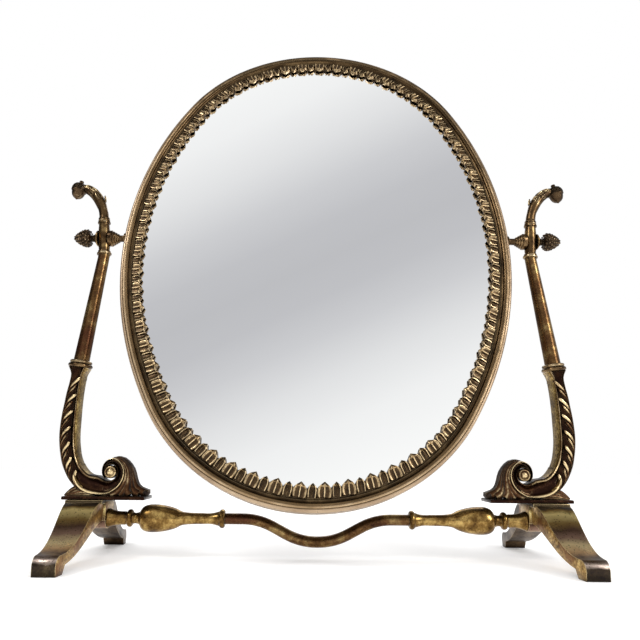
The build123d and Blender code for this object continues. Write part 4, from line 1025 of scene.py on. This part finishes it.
def squareTo(path):
    # the heading square to the path at each of its places
    headings, heading = [], None
    for before, after in zip(path[:1] + path[:-1], path[1:] + path[-1:]):
        ahead = math.degrees(math.atan2(after[1] - before[1], after[0] - before[0])) + 90
        heading = unwound(ahead, heading)
        headings.append(heading)
    return headings


def bothFaces(ring):
    return [(a, -d) for a, d in ring] + [(a, d) for a, d in reversed(ring)]


def crestRub(low, high, most=1.0):
    return lambda point: most * (abs(point.y) - low) / (high - low)


def towardsGlass(place, normal):
    return normal.x < console["wallTurned"] and abs(normal.y) < 0.6 and place.x < console["wallTo"]


bandRows = bandStations(outerEdge, innerEdge, console["depth"])[:console["bodyRows"]]
consoleBody = sweepRing(bothFaces(bodyRing), bandRows)
curlRows = bandStations(curlEdge, innerEdge[console["curlFrom"]:], console["curlDepth"])
consoleCurl = sweepRing(bothFaces(curlRing), curlRows)
polish(consoleBody, crestRub(7.7, 8.7, 0.8), 34, castBronze)
polish(consoleCurl, crestRub(8.5, 9.4), 34, castBronze)
dressSome(consoleBody, wallGold, towardsGlass)
dressSome(consoleCurl, wallGold, lambda place, normal: (
    towardsGlass(place, normal) and place.x > console["curlWallFrom"]
))
consoleParts = [consoleBody, consoleCurl]

# leaf lobes: each starts at the channel with a round head and trails down to the outer edge
lobeRing = arcRun((0, 0), 1, 0, 360, 12)[:-1]
lobeRun = [(0.0, 10.2, 0.7), (0.9, 9.7, 1.45), (2.6, 8.4, 1.9), (4.8, 6.3, 1.85), (7.4, 4.2, 1.55),
           (10.4, 2.6, 1.15), (13.4, 1.7, 0.6)]
lineMark = evenRun(outerEdge[3:40], console["lineSteps"])
lineLong = sum(math.dist(a, b) for a, b in zip(lineMark, lineMark[1:]))


def onLine(down, inset):
    # a place so far down the outer edge and so far inwards
    i = max(0, min(console["lineSteps"] - 2, round(down / lineLong * console["lineSteps"])))
    here, ahead = lineMark[i], lineMark[i + 1]
    step = Vector((ahead[0] - here[0], ahead[1] - here[1])).normalized()
    return here[0] + step.y * inset, here[1] - step.x * inset


for number in range(console["lobes"]):
    size = console["smallLobe"] if number % 2 else 1.0
    start = console["lobeFirst"] + number * (lineLong - console["lobeSpare"]) / (console["lobes"] - 1)
    path = [onLine(start + down, inset * size) for down, inset, _ in lobeRun]
    rows = [
        [x, z, heading, girth * size, max(0.9, girth * size * 1.15)]
        for (x, z), heading, (_, _, girth) in zip(path, squareTo(path), lobeRun)
    ]
    for face in (-1, 1):
        lobe = sweepRing(lobeRing, rows)
        lobe.data.transform(Matrix.Translation((0, face * console["lobeOut"] * mm, 0)))
        consoleParts.append(polish(lobe, crestRub(7.3, 8.6, 1.1), 60, castBronze))

# the volute's eye: a domed button right through, with one turned groove
eyeHalf = [(0, 10.7), (1.4, 10.6), (2.5, 10.0), (3.0, 9.3), (3.5, 9.2), (4.2, 9.9), (5.0, 9.7), (5.5, 8.9),
           (5.6, 7.4), (5.6, 0)]
eyeProfile = eyeHalf + [(r, -h) for r, h in reversed(eyeHalf[:-1])]
eye = lathe(eyeProfile, 32, placeBy(console["eye"], (0, 1, 0), (1, 0, 0)))
consoleParts.append(polish(eye, lambda point: 0.45 + (abs(point.y) - 9.0) * 0.35, 50, castBronze))

# the draped leaf behind the volute and the wedge outside it: ridges side by side
ridgeRing = [(-1.0, -0.90), (-0.7, -0.965), (0.0, -1.0), (0.7, -0.965), (1.0, -0.90)]
ridgeRing += [(-a, -d) for a, d in ridgeRing]


def ridgeFan(first, last, count, widths, depth):
    ridges, steps = [], console["ridgeSteps"]
    for number in range(count):
        turned = number / (count - 1)
        path = [
            tuple(p + (q - p) * turned for p, q in zip(a, b))
            for a, b in zip(evenRun(first, steps), evenRun(last, steps))
        ]
        deep = depth * min(1.0, 0.62 + 0.16 * number) * (1 - 0.06 * (number % 2))
        rows = [
            [x, z, heading, widths[0] + (widths[1] - widths[0]) * (i / steps), deep]
            for i, ((x, z), heading) in enumerate(zip(path, squareTo(path)))
        ]
        ridge = sweepRing(ridgeRing, rows)
        polish(ridge, crestRub(deep * 0.95, deep * 1.01, 0.75), 60, castBronze)
        # painted shade on the faces that look towards the glass
        dressSome(ridge, dullPaintedShade, lambda place, normal: normal.x < -0.35)
        ridges.append(ridge)
    return ridges


drapeOuter = [
    (186.4, 86.5), (182.0, 87.2), (177.4, 85.2), (173.2, 81.0), (169.8, 75.3), (168.0, 68.3), (165.8, 62.2),
    (161.8, 58.2), (157.2, 56.2), (154.4, 55.0),
]
drapeInner = [
    (186.3, 84.9), (180.7, 83.6), (177.3, 80.5), (175.1, 76.1), (174.6, 70.8), (176.3, 65.6), (180.1, 60.3),
    (186.2, 56.0), (194.3, 53.6),
]
consoleParts += ridgeFan(softRun(drapeOuter), softRun(drapeInner), 6, (1.0, 3.8), 8.0)
wedgeOuter = [(213.9, 59.2), (217.6, 60.2), (222.0, 58.8), (225.8, 56.0), (228.6, 53.4)]
wedgeInner = [(202.6, 54.4), (208.0, 54.2), (213.3, 54.0), (217.8, 53.8), (224.2, 53.4)]
consoleParts += ridgeFan(softRun(wedgeOuter), softRun(wedgeInner), 4, (2.6, 1.0), 8.6)
# the toe, dressed in painted shade
toe = lathe([(0, -6.4), (1.4, -6.2), (2.4, -5.2), (2.6, 0), (2.4, 5.2), (1.4, 6.2), (0, 6.4)], 16,
            placeBy(console["toe"], (0, 1, 0), (1, 0, 0)))
consoleParts.append(polish(toe, crestRub(5.0, 7.0, 0.8), 50, dullPaintedShade))

plateLeft, plateRight, plateHalf, plateLow, plateHigh = console["plate"]
clearPick()
bpy.ops.mesh.primitive_cube_add(size=1, location=(0, 0, 0))
plate = bpy.context.active_object
plate.data.transform(
    Matrix.Translation(((plateLeft + plateRight) / 2 * mm, 0, (plateLow + plateHigh) / 2 * mm))
    @ Matrix.Diagonal(((plateRight - plateLeft) * mm, 2 * plateHalf * mm, (plateHigh - plateLow) * mm, 1))
)
editAll()
bpy.ops.mesh.select_all(action="DESELECT")
doneEdit()
editChosen(plate.data.polygons, lambda face: face.normal.z > 0.9)
bpy.ops.mesh.inset(thickness=console["plateInset"] * mm)
doneEdit()
bevelEdges(plate, console["plateSoft"] * mm, 3)
smooth(plate, 40)
dress(plate, castBronze)
consoleParts.append(plate)

settlePair(consoleParts, "scrollConsole", "stand", "scroll_console")
print("scroll consoles cast")


# Crozier arms: a bent tube wrapped in leaves, a spur and a hanging acorn
arm = {
    "start": (215.91, 322.06),
    "lean": 4.5,
    "elbow": 34.5,
    "lower": 46.0,
    "upper": 30.0,
    "wrapSpread": 62,
    "wrapLow": 4.6,
    "wrapHigh": 5.0,
    "thickFrom": 20,
    "darkFrom": 345,
}
firstTurn, elbowTurn = math.radians(arm["lean"]), math.radians(arm["elbow"])
lowerCentre = (
    arm["start"][0] + arm["lower"] * math.cos(firstTurn),
    arm["start"][1] - arm["lower"] * math.sin(firstTurn),
)
upperCentre = (
    lowerCentre[0] - (arm["lower"] - arm["upper"]) * math.cos(elbowTurn),
    lowerCentre[1] + (arm["lower"] - arm["upper"]) * math.sin(elbowTurn),
)


def armPlace(turn):
    # a place on the arm's centre line where it has turned so far from upright, and its direction
    centre, radius = (lowerCentre, arm["lower"]) if turn <= arm["elbow"] else (upperCentre, arm["upper"])
    a = math.radians(turn)
    return (centre[0] - radius * math.cos(a), centre[1] + radius * math.sin(a)), (math.sin(a), math.cos(a))


armGirth = [(4.5, 5.5), (5.6, 5.6), (6.6, 4.9), (9, 4.7), (13, 4.6), (17, 4.5), (20, 4.6), (24, 5.0), (29, 5.2),
            (34.5, 5.2), (41, 5.1), (48, 4.9), (55, 4.7), (62, 4.5), (69, 4.2), (74, 3.8), (77.5, 3.0)]
armRows = [[*armPlace(turn)[0], -turn, girth, girth] for turn, girth in armGirth]
armTube = sweepRing(arcRun((0, 0), 1, 0, 360, 20)[:-1], armRows)
armParts = [polish(armTube, lambda point: 0.36 - 0.18 * (point.z > arm["darkFrom"]), 50, armBronze)]

wrapShape = {
    "half": 3.1, "rib": 1.25, "ribHalf": 0.3, "hollow": 0.55, "rim": 0.7, "rimHeight": 0.95, "ridge": 7.2,
    "stations": [(0, 0.5, 0.6), (2, 0.95, 0.9), (4.5, 1.0, 1.0), (7.2, 0.70, 1.2), (7.7, 0.6, 1.1), (9.4, 0.1, 0.7)],
    "rubs": ((0.15, 0.95), (0.4, 0.1), (0.75, 0.25), (0.92, 0.8), (9, 0.0)),
}
wrapMould = castLeaf(wrapShape)
wrapMould.data.transform(Matrix.Translation((0, 0, -0.4 * mm)))


def wrapLeaf(turn, around, size, lift):
    # one leaf laid on the tube, pointing along the arm; around is 0 on the inner side of the bend
    (x, z), (dx, dz) = armPlace(turn)
    onward = Vector((dx, 0, dz))
    inner = Vector((-dz, 0, dx))
    out = inner * math.cos(math.radians(around)) + Vector((0, -1, 0)) * math.sin(math.radians(around))
    girth = arm["wrapLow"] if turn < arm["thickFrom"] else arm["wrapHigh"]
    leaf = copyOf(wrapMould)
    leaf.data.transform(
        Matrix.Translation((Vector((x, 0, z)) + out * girth) * mm) @ axesOf(onward, out.cross(onward), out)
        @ Matrix.Rotation(math.radians(-lift), 4, "Y") @ Matrix.Scale(size, 4)
    )
    dress(leaf, armBronze)
    return leaf


for turn, shift, size, lift in ((31, 0, 1.0, -9), (43, 40, 1.0, -11), (56, 0, 0.85, -13)):
    for number in (-1, 0, 1):
        armParts.append(wrapLeaf(turn, shift + arm["wrapSpread"] * number, size, lift))
armParts.append(wrapLeaf(26, 0, 0.8, 16))  # the spur
bpy.data.objects.remove(wrapMould)


def castScale(long, wide, tall):
    # a cone-scale: a low six-sided point, leaning forwards
    clearPick()
    bpy.ops.mesh.primitive_cone_add(vertices=6, radius1=0.62, radius2=0.2, depth=0.8, location=(0, 0, 0))
    obj = bpy.context.active_object
    obj.data.transform(Matrix.Translation((0, 0, 0.1)))
    editChosen(obj.data.vertices, lambda v: v.co.z > 0.3)
    bpy.ops.transform.translate(value=(0.34, 0, 0))
    doneEdit()
    obj.data.transform(Matrix.Diagonal((long * mm, wide * mm, tall * mm, 1)))
    bevelEdges(obj, 0.12 * mm, 1, 20)
    return polish(obj, lambda point: (point.z - 0.25 * tall) / (0.3 * tall) * 0.7, 35, coneBronze)


def scaleRows(mould, profile, rows, frameOf):
    # scales set round a turned body; profile(share) gives radius and height, rows give share, count, size
    pieces = []
    for number, (share, count, size) in enumerate(rows):
        radius, height = profile(share)
        radiusOn, heightOn = profile(share + 0.02)
        onward = Vector((radiusOn - radius, 0, heightOn - height)).normalized()
        out = Vector((onward.z, 0, -onward.x))
        for k in range(count):
            angle = 2 * math.pi * (k + 0.5 * (number % 2)) / count
            scalePiece = copyOf(mould)
            scalePiece.data.transform(
                frameOf @ Matrix.Rotation(angle, 4, "Z") @ Matrix.Translation((radius * mm, 0, height * mm))
                @ axesOf(onward, out.cross(onward), out) @ Matrix.Scale(size, 4)
            )
            pieces.append(scalePiece)
    return pieces


acorn = {"centre": (244.7, 0, 352.3), "droop": 12.0, "stalk": 2.2, "cap": 4.9, "capEdge": -1.9, "capHeight": 6.6}
acornDown = (math.sin(math.radians(acorn["droop"])), 0, -math.cos(math.radians(acorn["droop"])))
acornFrame = placeBy(acorn["centre"], acornDown)
acornBody = lathe(
    [(0, -12.2), (1.8, -11.8), (2.3, -10.8), (1.9, -9.6), (2.6, -8.2), (4.6, -6.4), (6.2, -4.2), (7.0, -1.9),
     (7.5, -1.4), (7.6, -0.7), (7.3, -0.1), (6.6, 0.5), (6.3, 2.4), (5.3, 4.9), (3.8, 6.6), (2.0, 7.6),
     (1.2, 7.9), (0.7, 8.5), (0, 8.6)],
    32, acornFrame)
armParts.append(polish(acornBody, lambda point: 0.30, 45, coneBronze))
scaleMould = castScale(2.5, 2.4, 1.5)


def capProfile(share):
    # from the cap's edge up to the stalk
    a = math.radians(90 * share)
    return acorn["stalk"] + acorn["cap"] * math.cos(a), acorn["capEdge"] - acorn["capHeight"] * math.sin(a)


capRows = ((0.02, 16, 0.95), (0.24, 14, 0.95), (0.46, 12, 0.9), (0.68, 9, 0.8))
armParts += scaleRows(scaleMould, capProfile, capRows, acornFrame)
settlePair(armParts, "crozier", "stand", "crozier")
print("croziers and acorns cast")


# Pine-cone nuts: a turned neck and an egg set with scales
coneNut = {"pivot": 301.6, "start": 224.15, "egg": 226.75, "length": 17.9, "radius": 8.3}
nutFrame = placeBy((0, 0, coneNut["pivot"]), (1, 0, 0))


def eggProfile(share):
    share = min(0.999, max(0.001, share))
    radius = coneNut["radius"] * math.sin(math.pi * math.sqrt(share)) ** 0.62
    return radius, coneNut["egg"] + coneNut["length"] * share


nutStart, nutEgg = coneNut["start"], coneNut["egg"]
nutProfile = [(0, nutStart), (2.1, nutStart), (3.4, nutStart), (3.7, nutStart + 0.6), (3.1, nutStart + 1.4)]
nutProfile += [(3.2, nutEgg + 0.1)] + [(eggProfile(i / 14)[0] * 0.94, eggProfile(i / 14)[1]) for i in range(1, 14)]
nutProfile += [(0, nutEgg + coneNut["length"] - 0.4)]
nutBody = lathe(nutProfile, 32, nutFrame)
polish(nutBody, lambda point: 0.1, 45, coneBronze)
nutRows = ((0.05, 12, 1.0), (0.15, 14, 1.15), (0.29, 14, 1.2), (0.43, 13, 1.15), (0.57, 11, 1.1),
           (0.70, 9, 1.0), (0.82, 7, 0.9), (0.92, 4, 0.75))
nutParts = [nutBody] + scaleRows(scaleMould, eggProfile, nutRows, nutFrame)
bpy.data.objects.remove(scaleMould)
settlePair(nutParts, "finialNut", "nut_{}", "finial_nut")
print("pine-cone nuts set")

# Carried-over nodes
dress(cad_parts["mirror_glass"], silvered)
dress(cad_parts["packing_sheet"], felt)
for node in ("joint_studs", "plate_screws"):
    for hand in ("left", "right"):
        dress(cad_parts[f"{node}_{hand}"], dullSteel)
